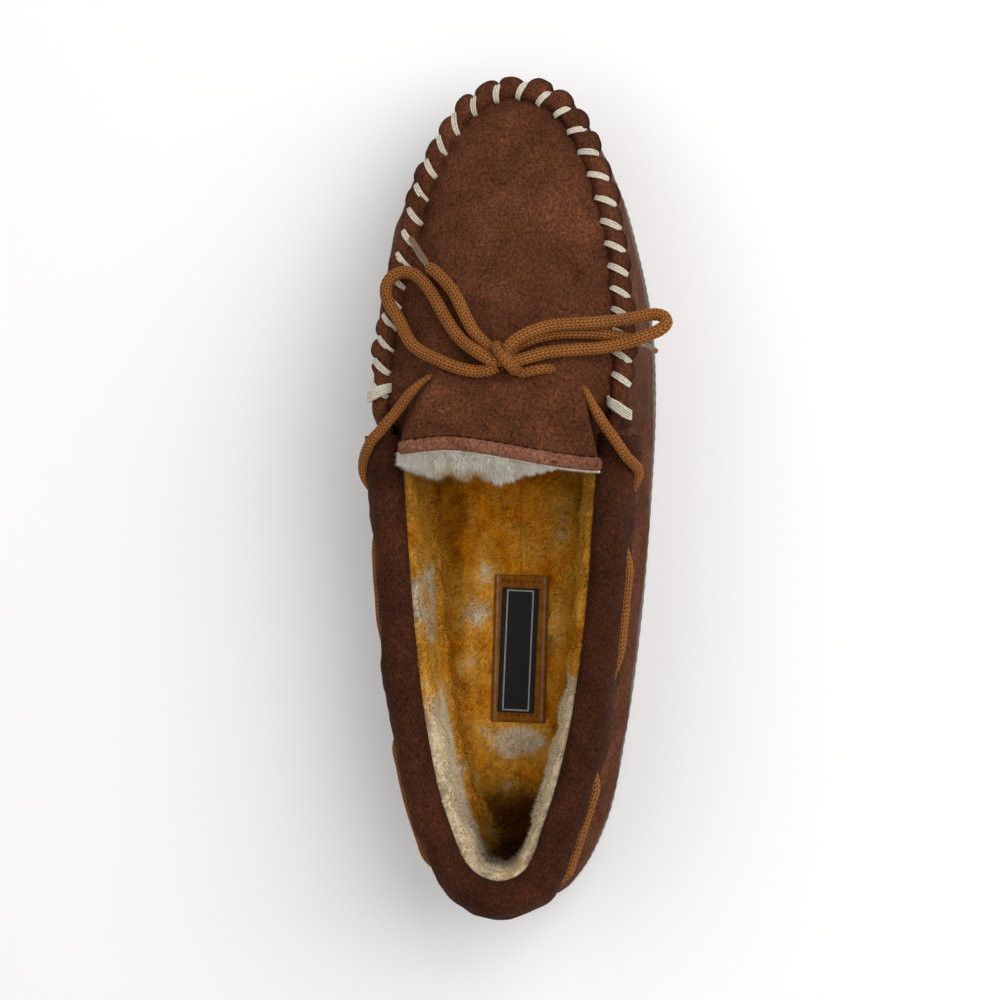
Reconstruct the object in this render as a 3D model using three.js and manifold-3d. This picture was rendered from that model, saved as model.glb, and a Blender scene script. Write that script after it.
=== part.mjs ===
// A suede moccasin slipper for the right foot, lined with fleece.
// Millimetres. +Y points to the toe, +X to the outer side, +Z up from the ground.
import * as THREE from 'three';
import { mergeVertices } from 'three/addons/utils/BufferGeometryUtils.js';
import Module from 'manifold-3d';

const wasm = await Module();
wasm.setup();

// ---------------------------------------------------------------- driving dimensions
const GAP = 0.3;              // between pieces that touch
const SUEDE = 2.0;            // leather thickness
const OUTSOLE_TOP = 6.0;      // rubber sole's thickness
const BOARD_TOP = 9.8;        // insole board
const FOAM_TOP = 14.0;        // foam under the footbed
const FOOTBED_TOP = 19.3;     // fleece footbed
const PATCH_TOP = 20.4;       // leather patch on the footbed
const LABEL_TOP = 21.3;       // woven label on the patch
const BELLY_Z = 18;           // height where the wall stands out the most
const LINING = 4.5;           // fleece lining's thickness
const STIFFENER = 1.1;        // heel counter and toe puff
const LACE = 4.2;             // braided lace's diameter
const THREAD_WIDTH = 2.1;     // flat waxed thread
const THREAD_DEPTH = 0.9;
const WHIP_STITCHES = 28;
const MIDDLE = [1.5, 2.1];    // middle of the slipper's box, which becomes the origin
const AROUND = 66;            // steps round the shoe, three for each station

// Stations round the shoe: from the heel up the inner side, round the toe and back.
// Each has the sole's edge (x, y) and the middle of the upper's rim (x, y, z).
const STATIONS = [
  { sole: [1.5, -139.0], rim: [2.5, -134.0, 69.0] },
  { sole: [-16.0, -132.5], rim: [-11.5, -128.5, 67.5] },
  { sole: [-28.0, -113.0], rim: [-22.5, -107.0, 65.0] },
  { sole: [-34.5, -82.0], rim: [-29.5, -79.0, 62.0] },
  { sole: [-39.5, -42.0], rim: [-34.3, -42.0, 60.5] },
  { sole: [-43.0, 0.0], rim: [-37.0, 0.0, 62.5] },
  { sole: [-45.5, 34.0], rim: [-38.3, 32.0, 64.5] },
  { sole: [-45.3, 62.0], rim: [-35.3, 61.0, 58.0] },
  { sole: [-41.0, 88.0], rim: [-30.3, 87.0, 52.0] },
  { sole: [-32.0, 112.0], rim: [-23.5, 112.0, 48.0] },
  { sole: [-16.0, 131.5], rim: [-10.5, 132.5, 45.5] },
  { sole: [4.0, 138.0], rim: [4.2, 138.8, 44.5] },
  { sole: [22.0, 131.0], rim: [19.5, 132.5, 45.5] },
  { sole: [34.5, 109.0], rim: [32.0, 112.0, 48.0] },
  { sole: [42.0, 84.0], rim: [39.0, 87.0, 52.0] },
  { sole: [46.5, 60.0], rim: [42.3, 61.0, 58.0] },
  { sole: [47.6, 34.0], rim: [42.8, 32.0, 64.5] },
  { sole: [46.0, 0.0], rim: [40.3, 0.0, 62.5] },
  { sole: [42.5, -42.0], rim: [36.7, -42.0, 60.5] },
  { sole: [37.0, -82.0], rim: [31.5, -79.0, 62.0] },
  { sole: [30.0, -113.0], rim: [24.5, -107.0, 65.0] },
  { sole: [18.5, -132.5], rim: [15.5, -128.5, 67.5] },
];
const COUNT = STATIONS.length;
const APRON_START = 6;        // stations where the apron's edges start
const TOE_STATION = 11;
const APRON_END = 16;
const BAR_STATIONS = [6.2, 15.96];     // bar stitches at the whipped seam's ends
const WHIP_STATIONS = [6.466, 15.666]; // first and last whip stitch
const COLLAR_END = 17 / 3;    // the collar runs this many stations each way from the heel

// Middle line of the apron, from the tongue's fold to near the toe.
const SPINE = [
  [4.5, 32.3, 78.0],
  [4.6, 60.0, 72.0],
  [4.6, 88.0, 63.0],
  [4.4, 110.0, 55.8],
  [4.2, 123.0, 51.0],
];
const APRON_ROUNDNESS = 2.6;

const TONGUE_FOLD_Y = 31.7;
const TONGUE_FRONT = { left: -28.5, right: 34.5, edge: 66.5, crown: 77.6 };
const TONGUE_REAR = { left: -30.0, right: 37.0, edge: 69.5, crown: 79.0 };
const TONGUE_SKEW = 6.4;      // how much further back the rear edge runs on the outer side

// ---------------------------------------------------------------- general helpers
const mix = THREE.MathUtils.lerp;

function smooth(low, high, value) {
  return THREE.MathUtils.smoothstep(value, low, high);
}

function toMesh(name, geometry, color, roughness, metalness = 0) {
  const material = new THREE.MeshStandardMaterial({ color, roughness, metalness });
  const mesh = new THREE.Mesh(geometry, material);
  mesh.name = name;
  return mesh;
}

function signedVolume(points, faces) {
  let total = 0;
  for (const [a, b, c] of faces) {
    total += points[a].dot(new THREE.Vector3().crossVectors(points[b], points[c]));
  }
  return total / 6;
}

function solidGeometry(points, faces) {
  const flip = signedVolume(points, faces) < 0;
  const index = faces.flatMap(([a, b, c]) => (flip ? [a, c, b] : [a, b, c]));
  const geometry = new THREE.BufferGeometry();
  const numbers = points.flatMap((p) => [p.x, p.y, p.z]);
  geometry.setAttribute('position', new THREE.Float32BufferAttribute(numbers, 3));
  geometry.setIndex(index);
  geometry.computeVertexNormals();
  return geometry;
}

// Joins equal loops of points into one solid. An open loft gets an end face at each end,
// made of a strip between the first half of the loop and the second half.
function loft(loops, closed = false) {
  const size = loops[0].length;
  const points = loops.flat();
  const faces = [];
  const spans = closed ? loops.length : loops.length - 1;
  for (let i = 0; i < spans; i += 1) {
    const next = (i + 1) % loops.length;
    for (let j = 0; j < size; j += 1) {
      const side = (j + 1) % size;
      const [a, b, c, d] = [i * size + j, i * size + side, next * size + j, next * size + side];
      // Every face is split from its low corner to its high one, so that neighbours match.
      if (points[b].z >= points[a].z) faces.push([a, c, d], [a, d, b]);
      else faces.push([a, c, b], [c, d, b]);
    }
  }
  if (!closed) {
    const last = (loops.length - 1) * size;
    for (let k = 0; k < size / 2 - 1; k += 1) {
      const across = size - 1 - k;
      faces.push([k, k + 1, across - 1], [k, across - 1, across]);
      faces.push([last + k, last + across - 1, last + k + 1], [last + k, last + across, last + across - 1]);
    }
  }
  return solidGeometry(points, faces);
}

function toManifold(geometry) {
  const bare = geometry.clone();
  bare.deleteAttribute('normal');
  bare.deleteAttribute('uv');
  const merged = mergeVertices(bare, 1e-4);
  return new wasm.Manifold(new wasm.Mesh({
    numProp: 3,
    vertProperties: merged.attributes.position.array,
    triVerts: new Uint32Array(merged.index.array),
  }));
}

// Cuts tools out of a solid and keeps its largest piece.
function cut(geometry, ...tools) {
  let solid = toManifold(geometry);
  for (const tool of tools) {
    solid = solid.subtract(toManifold(tool));
  }
  const pieces = solid.decompose().sort((a, b) => b.volume() - a.volume());
  const mesh = pieces[0].getMesh();
  const result = new THREE.BufferGeometry();
  result.setAttribute('position', new THREE.Float32BufferAttribute(mesh.vertProperties, 3));
  result.setIndex(new THREE.Uint32BufferAttribute(mesh.triVerts, 1));
  result.computeVertexNormals();
  return result;
}

function points3(list) {
  return list.map((p) => new THREE.Vector3(...p));
}

// A tube with flat ends along a smooth curve through the points.
function tube(list, diameter, steps, sides = 8) {
  const curve = new THREE.CatmullRomCurve3(points3(list), false, 'centripetal');
  const section = new THREE.Shape();
  for (let i = 0; i < sides; i += 1) {
    const angle = (i / sides) * 2 * Math.PI;
    const x = (Math.cos(angle) * diameter) / 2;
    const y = (Math.sin(angle) * diameter) / 2;
    if (i === 0) section.moveTo(x, y);
    else section.lineTo(x, y);
  }
  section.closePath();
  return new THREE.ExtrudeGeometry(section, { steps, extrudePath: curve, bevelEnabled: false });
}

// ---------------------------------------------------------------- frame round the shoe
const SOLE_RAIL = new THREE.CatmullRomCurve3(
  STATIONS.map(({ sole: [x, y] }) => new THREE.Vector3(x, y, 0)), true, 'centripetal');
const RIM_RAIL = new THREE.CatmullRomCurve3(points3(STATIONS.map(({ rim }) => rim)), true, 'centripetal');

// Local frame at a station: rim point, outward and forward directions in plan,
// the sole edge's place along both, and the rim's height.
function frameAt(station) {
  const t = (((station / COUNT) % 1) + 1) % 1;
  const rim = RIM_RAIL.getPoint(t);
  const ahead = RIM_RAIL.getPoint((t + 0.004) % 1);
  const behind = RIM_RAIL.getPoint((t + 0.996) % 1);
  const along = new THREE.Vector3(ahead.x - behind.x, ahead.y - behind.y, 0).normalize();
  const out = new THREE.Vector3(-along.y, along.x, 0);
  const toSole = SOLE_RAIL.getPoint(t).sub(new THREE.Vector3(rim.x, rim.y, 0));
  return { rim, along, out, soleOut: toSole.dot(out), soleAlong: toSole.dot(along), height: rim.z };
}

// Point at n outward of the rim's middle line and z above the ground.
function place(frame, n, z) {
  const low = 1 - THREE.MathUtils.clamp((z - OUTSOLE_TOP) / (frame.height - OUTSOLE_TOP), 0, 1);
  const point = frame.rim.clone();
  point.addScaledVector(frame.out, n);
  point.addScaledVector(frame.along, frame.soleAlong * low);
  point.z = z;
  return point;
}

function frontShare(station) {
  return smooth(5.67, 5.95, station) * (1 - smooth(16.05, 16.33, station));
}

// ---------------------------------------------------------------- the wall's section
// Rows of [n, z], bottom to top, for the wall's outer face and its inner face.
function wallRows(frame, station) {
  const n = frame.soleOut;
  const h = frame.height;
  const belly = n + 1.4;
  const waist = Math.max(belly - 2.2, 3.9);
  const foot = OUTSOLE_TOP + GAP;
  const rearOuter = [
    [n - 11, foot], [n - 1.2, foot], [belly, BELLY_Z], [waist, 30],
    [1.6, h - 22.5], [-1.3, h - 13], [-1.5, h - 2.6],
  ];
  const rearInner = [
    [n - 11, foot + 1.6], [n - 3.0, foot + 1.8], [belly - 2.1, BELLY_Z], [waist - 2.1, 30],
    [-0.6, h - 23.2], [-3.4, h - 13.6], [-3.5, h - 2.6],
  ];
  const shoulder = [mix(belly, 4.2, 0.7), mix(BELLY_Z, h - 6, 0.7)];
  const frontOuter = [
    [n - 11, foot], [n - 1.2, foot], [belly, BELLY_Z], shoulder,
    [4.4, h - 4.6], [3.2, h - 0.9], [0.9, h + 0.4],
  ];
  const frontInner = [
    [n - 11, foot + 1.6], [n - 3.0, foot + 1.8], [belly - 2.1, BELLY_Z], [shoulder[0] - 2.1, shoulder[1] - 0.5],
    [0.8, h - 6.6], [-1.4, h - 4.2], [-1.3, h - 1.2],
  ];
  const share = frontShare(station);
  const blend = (a, b) => a.map(([x, z], i) => [mix(x, b[i][0], share), mix(z, b[i][1], share)]);
  return { outer: blend(rearOuter, frontOuter), inner: blend(rearInner, frontInner) };
}

// n of the wall's inner face at height z.
function innerFace(frame, station, z) {
  const rows = wallRows(frame, station).inner.slice(1);
  for (let i = 1; i < rows.length; i += 1) {
    if (z <= rows[i][1]) {
      const share = (z - rows[i - 1][1]) / (rows[i][1] - rows[i - 1][1]);
      return mix(rows[i - 1][0], rows[i][0], Math.max(share, 0));
    }
  }
  return rows[rows.length - 1][0];
}

function stationSteps(from, to, steps) {
  return Array.from({ length: steps + 1 }, (_, i) => mix(from, to, i / steps));
}

// A shell that follows the wall's inner face up to a height. Its rows sit at the wall's own
// rows, pressed together where the top comes below them.
function innerShell(stations, zLow, topOf, near, thickness, closed) {
  const limits = [0, 0.6, 0.75, 0.9];
  const loops = stations.map((station) => {
    const frame = frameAt(station);
    const top = topOf(frame, station);
    const rows = wallRows(frame, station).inner.slice(2, 6);
    const middle = rows.map(([, z], i) => Math.min(z, mix(BELLY_Z, top, limits[i])));
    const heights = [zLow, BELLY_Z, ...middle.slice(1), top];
    const outside = heights.map((z) => place(frame, innerFace(frame, station, z) - near, z));
    const inside = heights.map((z) => place(frame, innerFace(frame, station, z) - near - thickness, z));
    return [...outside, ...inside.reverse()];
  });
  return loft(loops, closed);
}

// ---------------------------------------------------------------- sole and footbed
function soleLayer(inset, zLow, zHigh) {
  const outline = new THREE.Shape();
  for (let i = 0; i < AROUND; i += 1) {
    const frame = frameAt((i / AROUND) * COUNT);
    const p = place(frame, frame.soleOut - inset, OUTSOLE_TOP);
    if (i === 0) outline.moveTo(p.x, p.y);
    else outline.lineTo(p.x, p.y);
  }
  outline.closePath();
  const layer = new THREE.ExtrudeGeometry(outline, { depth: zHigh - zLow, bevelEnabled: false });
  return layer.translate(0, 0, zLow);
}

function plate(width, length, zLow, zHigh, x, y, turn) {
  const box = new THREE.BoxGeometry(width, length, zHigh - zLow);
  box.rotateZ(THREE.MathUtils.degToRad(turn));
  return box.translate(x, y, (zLow + zHigh) / 2);
}

// ---------------------------------------------------------------- upper
function vampWall() {
  const stations = stationSteps(0, COUNT, AROUND).slice(0, -1);
  const loops = stations.map((station) => {
    const frame = frameAt(station);
    const { outer, inner } = wallRows(frame, station);
    return [...outer, ...inner.reverse()].map(([n, z]) => place(frame, n, z));
  });
  return loft(loops, true);
}

function collar() {
  const section = [
    [4.2, -23.0], [5.6, -17.5], [6.0, -10.0], [5.2, -4.2], [2.8, -0.8], [-1.0, 0.2], [-4.4, -0.7], [-6.3, -3.4], [-6.3, -5.6],
    [-5.0, -5.6], [-4.8, -3.8], [-3.6, -2.2], [-0.9, -1.7], [1.8, -2.4], [3.4, -4.9], [4.0, -10.0], [3.7, -17.2], [2.3, -22.8],
  ];
  const loops = stationSteps(-COLLAR_END, COLLAR_END, 34).map((station) => {
    const frame = frameAt(station);
    return section.map(([n, z]) => place(frame, n, frame.height + z));
  });
  return loft(loops);
}

function heelCounter() {
  const top = (frame) => frame.height - 9;
  return innerShell(stationSteps(-7 / 3, 7 / 3, 14), BOARD_TOP + 2 * GAP, top, GAP, STIFFENER, false);
}

function toePuff() {
  const top = (frame) => frame.height - 11;
  return innerShell(stationSteps(28 / 3, 38 / 3, 10), BOARD_TOP + 2 * GAP, top, GAP, STIFFENER, false);
}

function sideLining() {
  const around = stationSteps(0, COUNT, AROUND).slice(0, -1);
  const top = (frame, station) => frame.height - mix(6.2, 9.4, frontShare(station));
  return innerShell(around, BOARD_TOP + GAP, top, 2 * GAP + STIFFENER, LINING, true);
}

function spinePoint(share) {
  const curve = new THREE.CatmullRomCurve3(points3(SPINE), false, 'centripetal');
  return curve.getPointAt(share);
}

// The apron's grid: from the seam's edge (column 0) to the middle line, for stations from
// the inner side's seam end round the toe to the outer side's.
function apronGrid(edgeInset, drop, steps, columns) {
  return stationSteps(APRON_START, APRON_END, steps).map((station) => {
    const frame = frameAt(station);
    const edge = place(frame, -edgeInset, frame.height - 1.2 - drop);
    const share = 1 - Math.abs(station - TOE_STATION) / (APRON_END - TOE_STATION);
    const middle = spinePoint(Math.sin((share * Math.PI) / 2));
    middle.z -= drop;
    return Array.from({ length: columns }, (_, j) => {
      const v = j / (columns - 1);
      const point = edge.clone().lerp(middle, v);
      point.z = mix(edge.z, middle.z, 1 - (1 - v) ** APRON_ROUNDNESS);
      return point;
    });
  });
}

function apronSheet(edgeInset, top, thickness, yRear) {
  const columns = 6;
  const steps = 30;
  let upper = apronGrid(edgeInset, top, steps, columns);
  let lower = apronGrid(edgeInset, top + thickness, steps, columns);
  const keep = upper.map((row) => row[0].y >= yRear);
  upper = upper.filter((_, i) => keep[i]);
  lower = lower.filter((_, i) => keep[i]);
  const rows = upper.length;
  const layer = rows * columns;
  const points = [...upper.flat(), ...lower.flat()];
  const faces = [];
  const quad = (a, b, c, d) => faces.push([a, b, c], [a, c, d]);
  for (let i = 0; i < rows - 1; i += 1) {
    for (let j = 0; j < columns - 1; j += 1) {
      const a = i * columns + j;
      quad(a, a + columns, a + columns + 1, a + 1);
      quad(layer + a, layer + a + 1, layer + a + columns + 1, layer + a + columns);
    }
    const edge = i * columns;
    quad(edge + columns, edge, layer + edge, layer + edge + columns);
  }
  for (let j = 0; j < columns - 1; j += 1) {
    quad(j, j + 1, layer + j + 1, layer + j);
    const end = (rows - 1) * columns + j;
    quad(end + 1, end, layer + end, layer + end + 1);
  }
  const open = solidGeometry(points, faces);
  open.deleteAttribute('normal');
  return mergeVertices(open, 1e-3);
}

// ---------------------------------------------------------------- tongue
function tongueSection(y, drop, inset, thickness) {
  const share = (TONGUE_FOLD_Y - y) / (TONGUE_FOLD_Y - 15);
  const side = (key) => mix(TONGUE_FRONT[key], TONGUE_REAR[key], share);
  const left = side('left') + inset;
  const right = side('right') - inset;
  const columns = 14;
  const row = (down) => Array.from({ length: columns }, (_, j) => {
    const v = (j / (columns - 1)) * 2 - 1;
    const arch = 1 - Math.abs(v * (1 - inset / 34)) ** APRON_ROUNDNESS;
    const across = j / (columns - 1);
    const lag = TONGUE_SKEW * smooth(0.2, 1.05, across) * THREE.MathUtils.clamp(share, 0, 1);
    return new THREE.Vector3(mix(left, right, across), y - lag, mix(side('edge'), side('crown'), arch) - down);
  });
  return [...row(drop), ...row(drop + thickness).reverse()];
}

function tongueSheet(yFront, yRear, drop, inset, thickness, steps = 4) {
  const rows = stationSteps(yFront, yRear, steps).map((y) => tongueSection(y, drop, inset, thickness));
  return loft(rows);
}

// ---------------------------------------------------------------- thread
// One stitch's way round the seam, as [n, z above the rim, share of the pitch along].
const STITCH_WAY = [
  [-3.6, -0.6, 0.0], [-2.4, 0.7, 0.06], [0.6, 1.5, 0.16], [3.6, 0.5, 0.26], [5.4, -3.0, 0.36], [5.0, -7.2, 0.46],
  [0.6, -8.6, 0.62], [-3.0, -6.4, 0.84],
];

// Stations at equal distances along the rim.
function evenStations(from, to, count) {
  const fine = stationSteps(from, to, 400);
  const rims = fine.map((station) => frameAt(station).rim);
  const lengths = [0];
  for (let i = 1; i < fine.length; i += 1) {
    lengths.push(lengths[i - 1] + rims[i].distanceTo(rims[i - 1]));
  }
  return Array.from({ length: count }, (_, k) => {
    const target = (lengths[lengths.length - 1] * k) / (count - 1);
    const at = Math.max(lengths.findIndex((value) => value >= target - 1e-6), 1);
    const share = (target - lengths[at - 1]) / (lengths[at] - lengths[at - 1]);
    return mix(fine[at - 1], fine[at], share);
  });
}

// A flat band of leather thread through the points: its width lies along the seam.
function band(stops, width, depth) {
  const loops = stops.map(({ point, along }, i) => {
    const before = stops[Math.max(i - 1, 0)].point;
    const after = stops[Math.min(i + 1, stops.length - 1)].point;
    const way = after.clone().sub(before).normalize();
    const wide = along.clone().addScaledVector(way, -along.dot(way)).normalize().multiplyScalar(width / 2);
    const deep = new THREE.Vector3().crossVectors(way, wide).normalize().multiplyScalar(depth / 2);
    return [
      point.clone().add(wide).add(deep), point.clone().sub(wide).add(deep),
      point.clone().sub(wide).sub(deep), point.clone().add(wide).sub(deep),
    ];
  });
  return loft(loops);
}

function whipThread(extra) {
  const starts = evenStations(...WHIP_STATIONS, WHIP_STITCHES + 1);
  const stops = [];
  for (let k = 0; k < WHIP_STITCHES; k += 1) {
    for (const [n, z, share] of STITCH_WAY) {
      const frame = frameAt(mix(starts[k], starts[k + 1], share));
      stops.push({ point: place(frame, n, frame.height + z), along: frame.along });
    }
  }
  return band(stops, THREAD_WIDTH + extra, THREAD_DEPTH + extra);
}

// The short thick bar of thread that locks an end of the seam.
function barStitch(station) {
  const frame = frameAt(station);
  const way = [[-3.2, 1.2], [-1.6, 2.0], [1.6, 2.4], [4.2, 1.2], [5.6, -2.4]];
  const stops = way.map(([n, z]) => ({ point: place(frame, n, frame.height + z), along: frame.along }));
  return band(stops, 4.2, 1.4);
}

// ---------------------------------------------------------------- lace
const LACE_DROP = 11;         // the lace's depth below the collar's top
const LACE_INSIDE = 1.35;     // outward place inside the collar
const LACE_OUTSIDE = 5.7;     // outward place where it shows
const WINDOWS = [[-2.6, -1.2], [-4.6, -3.6], [1.4, 3.0], [3.8, 4.7]];

const LACE_LEFT_FRONT = [
  [6.0, 44.6, 76.2], [2.3, 43.6, 74.0], [-1.6, 41.9, 71.2], [-6.0, 40.6, 69.2], [-12.0, 40.4, 68.2],
  [-16.4, 41.0, 69.6], [-19.6, 40.8, 73.8], [-24.6, 36.8, 74.6], [-30.6, 30.2, 70.8], [-36.4, 24.0, 68.6],
  [-41.2, 18.8, 66.2],
];
const LACE_RIGHT_FRONT = [
  [45.6, 14.6, 66.2], [42.4, 19.8, 69.0], [38.4, 25.6, 70.2], [35.4, 31.0, 72.0], [33.4, 35.6, 73.4],
  [31.2, 38.0, 70.6], [28.0, 40.6, 66.7], [25.5, 41.9, 68.0], [23.0, 43.2, 71.3], [20.5, 43.5, 75.2],
  [17.5, 43.1, 77.5], [14.0, 42.4, 78.2], [10.3, 41.8, 77.8],
];

function laceOutward(station) {
  let share = 0;
  for (const [from, to] of WINDOWS) {
    share = Math.max(share, smooth(from - 0.2, from + 0.1, station) * (1 - smooth(to - 0.1, to + 0.2, station)));
  }
  return mix(LACE_INSIDE, LACE_OUTSIDE, share);
}

function laceRoute() {
  const held = stationSteps(4.9, -4.9, 44).map((station) => {
    const frame = frameAt(station);
    return place(frame, laceOutward(station), frame.height - LACE_DROP).toArray();
  });
  const left = frameAt(5.28);
  const right = frameAt(-5.28);
  const leftEntry = place(left, 7.4, left.height - 7.0).toArray();
  const rightEntry = place(right, 7.4, right.height - 7.0).toArray();
  return [...LACE_LEFT_FRONT, leftEntry, ...held, rightEntry, ...LACE_RIGHT_FRONT];
}

const LOOP_LEFT = [
  [3.0, 46.0, 81.3], [0.8, 47.2, 80.9], [-2.5, 49.1, 79.8], [-8.0, 53.0, 76.4], [-12.7, 58.4, 73.2],
  [-16.9, 64.9, 69.8], [-20.3, 70.0, 66.8], [-23.6, 73.7, 64.0], [-26.9, 76.0, 62.0], [-30.7, 76.8, 60.6],
  [-34.4, 75.4, 60.2], [-36.4, 72.6, 60.2], [-36.5, 69.0, 60.8], [-34.4, 64.7, 62.2], [-31.3, 60.3, 64.4],
  [-28.8, 55.9, 67.0], [-25.8, 51.9, 70.2], [-21.3, 48.9, 73.2], [-15.8, 46.4, 75.9], [-10.6, 44.3, 77.5],
  [-5.5, 43.0, 78.3], [-1.5, 42.6, 78.6],
];
const END_LEFT = [
  [1.2, 50.4, 76.9], [-0.8, 52.3, 76.4], [-3.9, 55.5, 75.4], [-6.5, 59.6, 74.0], [-8.8, 64.0, 72.4],
  [-11.5, 68.7, 70.3], [-15.1, 73.0, 67.8], [-18.7, 76.4, 65.4], [-21.1, 77.9, 63.9],
];
const AGLET_LEFT = [[-21.5, 78.2, 63.6], [-25.0, 83.0, 60.2], [-28.5, 87.9, 56.8]];
const LOOP_RIGHT = [
  [9.1, 51.2, 81.3], [11.2, 53.1, 80.9], [15.4, 55.4, 79.9], [21.8, 57.5, 77.8], [29.7, 58.3, 75.2],
  [37.6, 58.9, 71.9], [45.5, 60.0, 67.8], [51.4, 61.2, 65.2], [55.4, 61.7, 64.4], [58.2, 60.8, 65.0],
  [59.1, 58.6, 66.8], [57.2, 56.4, 68.8], [52.6, 54.4, 69.6], [47.4, 52.6, 69.8], [40.8, 50.9, 70.6],
  [34.4, 50.1, 72.6], [26.4, 49.5, 75.4], [20.1, 48.6, 78.0], [15.5, 47.3, 79.4], [12.8, 46.5, 80.2],
];
const END_RIGHT = [
  [10.0, 50.8, 76.4], [15.6, 53.4, 75.8], [21.2, 54.9, 73.8], [29.2, 55.5, 71.2], [37.1, 55.2, 67.9],
  [42.7, 54.3, 65.6], [46.8, 53.3, 64.6],
];
const AGLET_RIGHT = [[47.3, 53.15, 64.5], [50.9, 51.6, 63.0], [54.5, 49.9, 60.8]];

// The knot: a rounded lump pressed flat on the apron.
function knot() {
  const ball = new THREE.SphereGeometry(1, 14, 10);
  ball.scale(5.6, 4.6, 3.9);
  ball.rotateZ(THREE.MathUtils.degToRad(-20));
  return ball.translate(7.4, 46.4, 79.9);
}

// ---------------------------------------------------------------- the shoe
const suede = 0x5c3724;
const darkSuede = 0x43281a;
const laceTan = 0x9a6434;

const laceRun = tube(laceRoute(), LACE, 54);
const laceRoom = tube(laceRoute(), LACE + 2 * GAP, 54);
const threadRoom = whipThread(2 * GAP);
const loopLeft = tube(LOOP_LEFT, LACE, 16);
const endLeft = tube(END_LEFT, LACE, 6);
const loopRight = tube(LOOP_RIGHT, LACE, 18);
const endRight = tube(END_RIGHT, LACE, 6);
const knotRoom = [
  tube(LOOP_LEFT, LACE + 2 * GAP, 16), tube(END_LEFT, LACE + 2 * GAP, 6),
  tube(LOOP_RIGHT, LACE + 2 * GAP, 18), tube(END_RIGHT, LACE + 2 * GAP, 6),
];

const shoe = new THREE.Group();
shoe.position.set(-MIDDLE[0], -MIDDLE[1], 0);
shoe.add(
  toMesh('outsole', soleLayer(-0.4, 0, OUTSOLE_TOP), 0x8f8074, 0.8),
  toMesh('insole_board', soleLayer(3.4, OUTSOLE_TOP + 2.2, BOARD_TOP), 0xa08c70, 0.9),
  toMesh('insole_foam', soleLayer(9.0, BOARD_TOP + GAP, FOAM_TOP), 0xd8d2c4, 0.95),
  toMesh('footbed_fleece', soleLayer(9.0, FOAM_TOP + GAP, FOOTBED_TOP), 0xb98534, 1),
  toMesh('label_patch', plate(18.8, 51, FOOTBED_TOP + GAP, PATCH_TOP, 2.9, -51.4, -1.5), 0x8a5a2c, 0.7),
  toMesh('woven_label', plate(12.6, 43, PATCH_TOP + GAP, LABEL_TOP, 2.4, -52, -2.5), 0x16161a, 0.6),
  toMesh('vamp_wall', cut(vampWall(), threadRoom, laceRoom), suede, 0.95),
  toMesh('heel_counter', heelCounter(), 0xc8bda6, 0.8),
  toMesh('toe_puff', toePuff(), 0xc8bda6, 0.8),
  toMesh('side_lining', sideLining(), 0xc79a52, 1),
  toMesh('vamp_lining', apronSheet(6.2, SUEDE + GAP + 0.4, 4.0, 52), 0xc79a52, 1),
  toMesh('apron', cut(apronSheet(1.4 + GAP, 0, SUEDE, 0), threadRoom, laceRoom), suede, 0.95),
  toMesh('collar', cut(collar(), laceRoom), darkSuede, 0.95),
  toMesh('whip_thread', whipThread(0), 0xd9cdb4, 0.8),
  toMesh('bar_stitch_left', barStitch(BAR_STATIONS[0]), 0xd9cdb4, 0.8),
  toMesh('bar_stitch_right', barStitch(BAR_STATIONS[1]), 0xd9cdb4, 0.8),
  toMesh('tongue_flap', tongueSheet(TONGUE_FOLD_Y, 17.2, 0, 0, 1.6), suede, 0.95),
  toMesh('tongue_lining', tongueSheet(TONGUE_FOLD_Y - 0.6, 17.2, 1.9, 3.0, 3.4), 0xe0d6bf, 1),
  toMesh('tongue_binding', tongueSheet(16.9, 14.4, -0.3, 0.3, 4.6, 1), 0x85604c, 0.85),
  toMesh('lace_run', laceRun, laceTan, 0.9),
  toMesh('lace_knot', cut(knot(), laceRoom, ...knotRoom), laceTan, 0.9),
  toMesh('lace_loop_left', loopLeft, laceTan, 0.9),
  toMesh('lace_loop_right', loopRight, laceTan, 0.9),
  toMesh('lace_end_left', endLeft, laceTan, 0.9),
  toMesh('lace_end_right', endRight, laceTan, 0.9),
  toMesh('aglet_left', tube(AGLET_LEFT, 2.6, 3), 0x6b4a2e, 0.35),
  toMesh('aglet_right', tube(AGLET_RIGHT, 2.6, 3), 0x6b4a2e, 0.35),
);

export default shoe;
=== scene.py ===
"""A suede moccasin slipper for the right foot, lined with fleece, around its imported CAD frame.

Metres, +Y to the toe, +X to the outer side, +Z up. Sections round the shoe are given in
millimetres as (n, z): n outward of the rim's middle line, and z above the ground or the rim.
"""
import math

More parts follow.
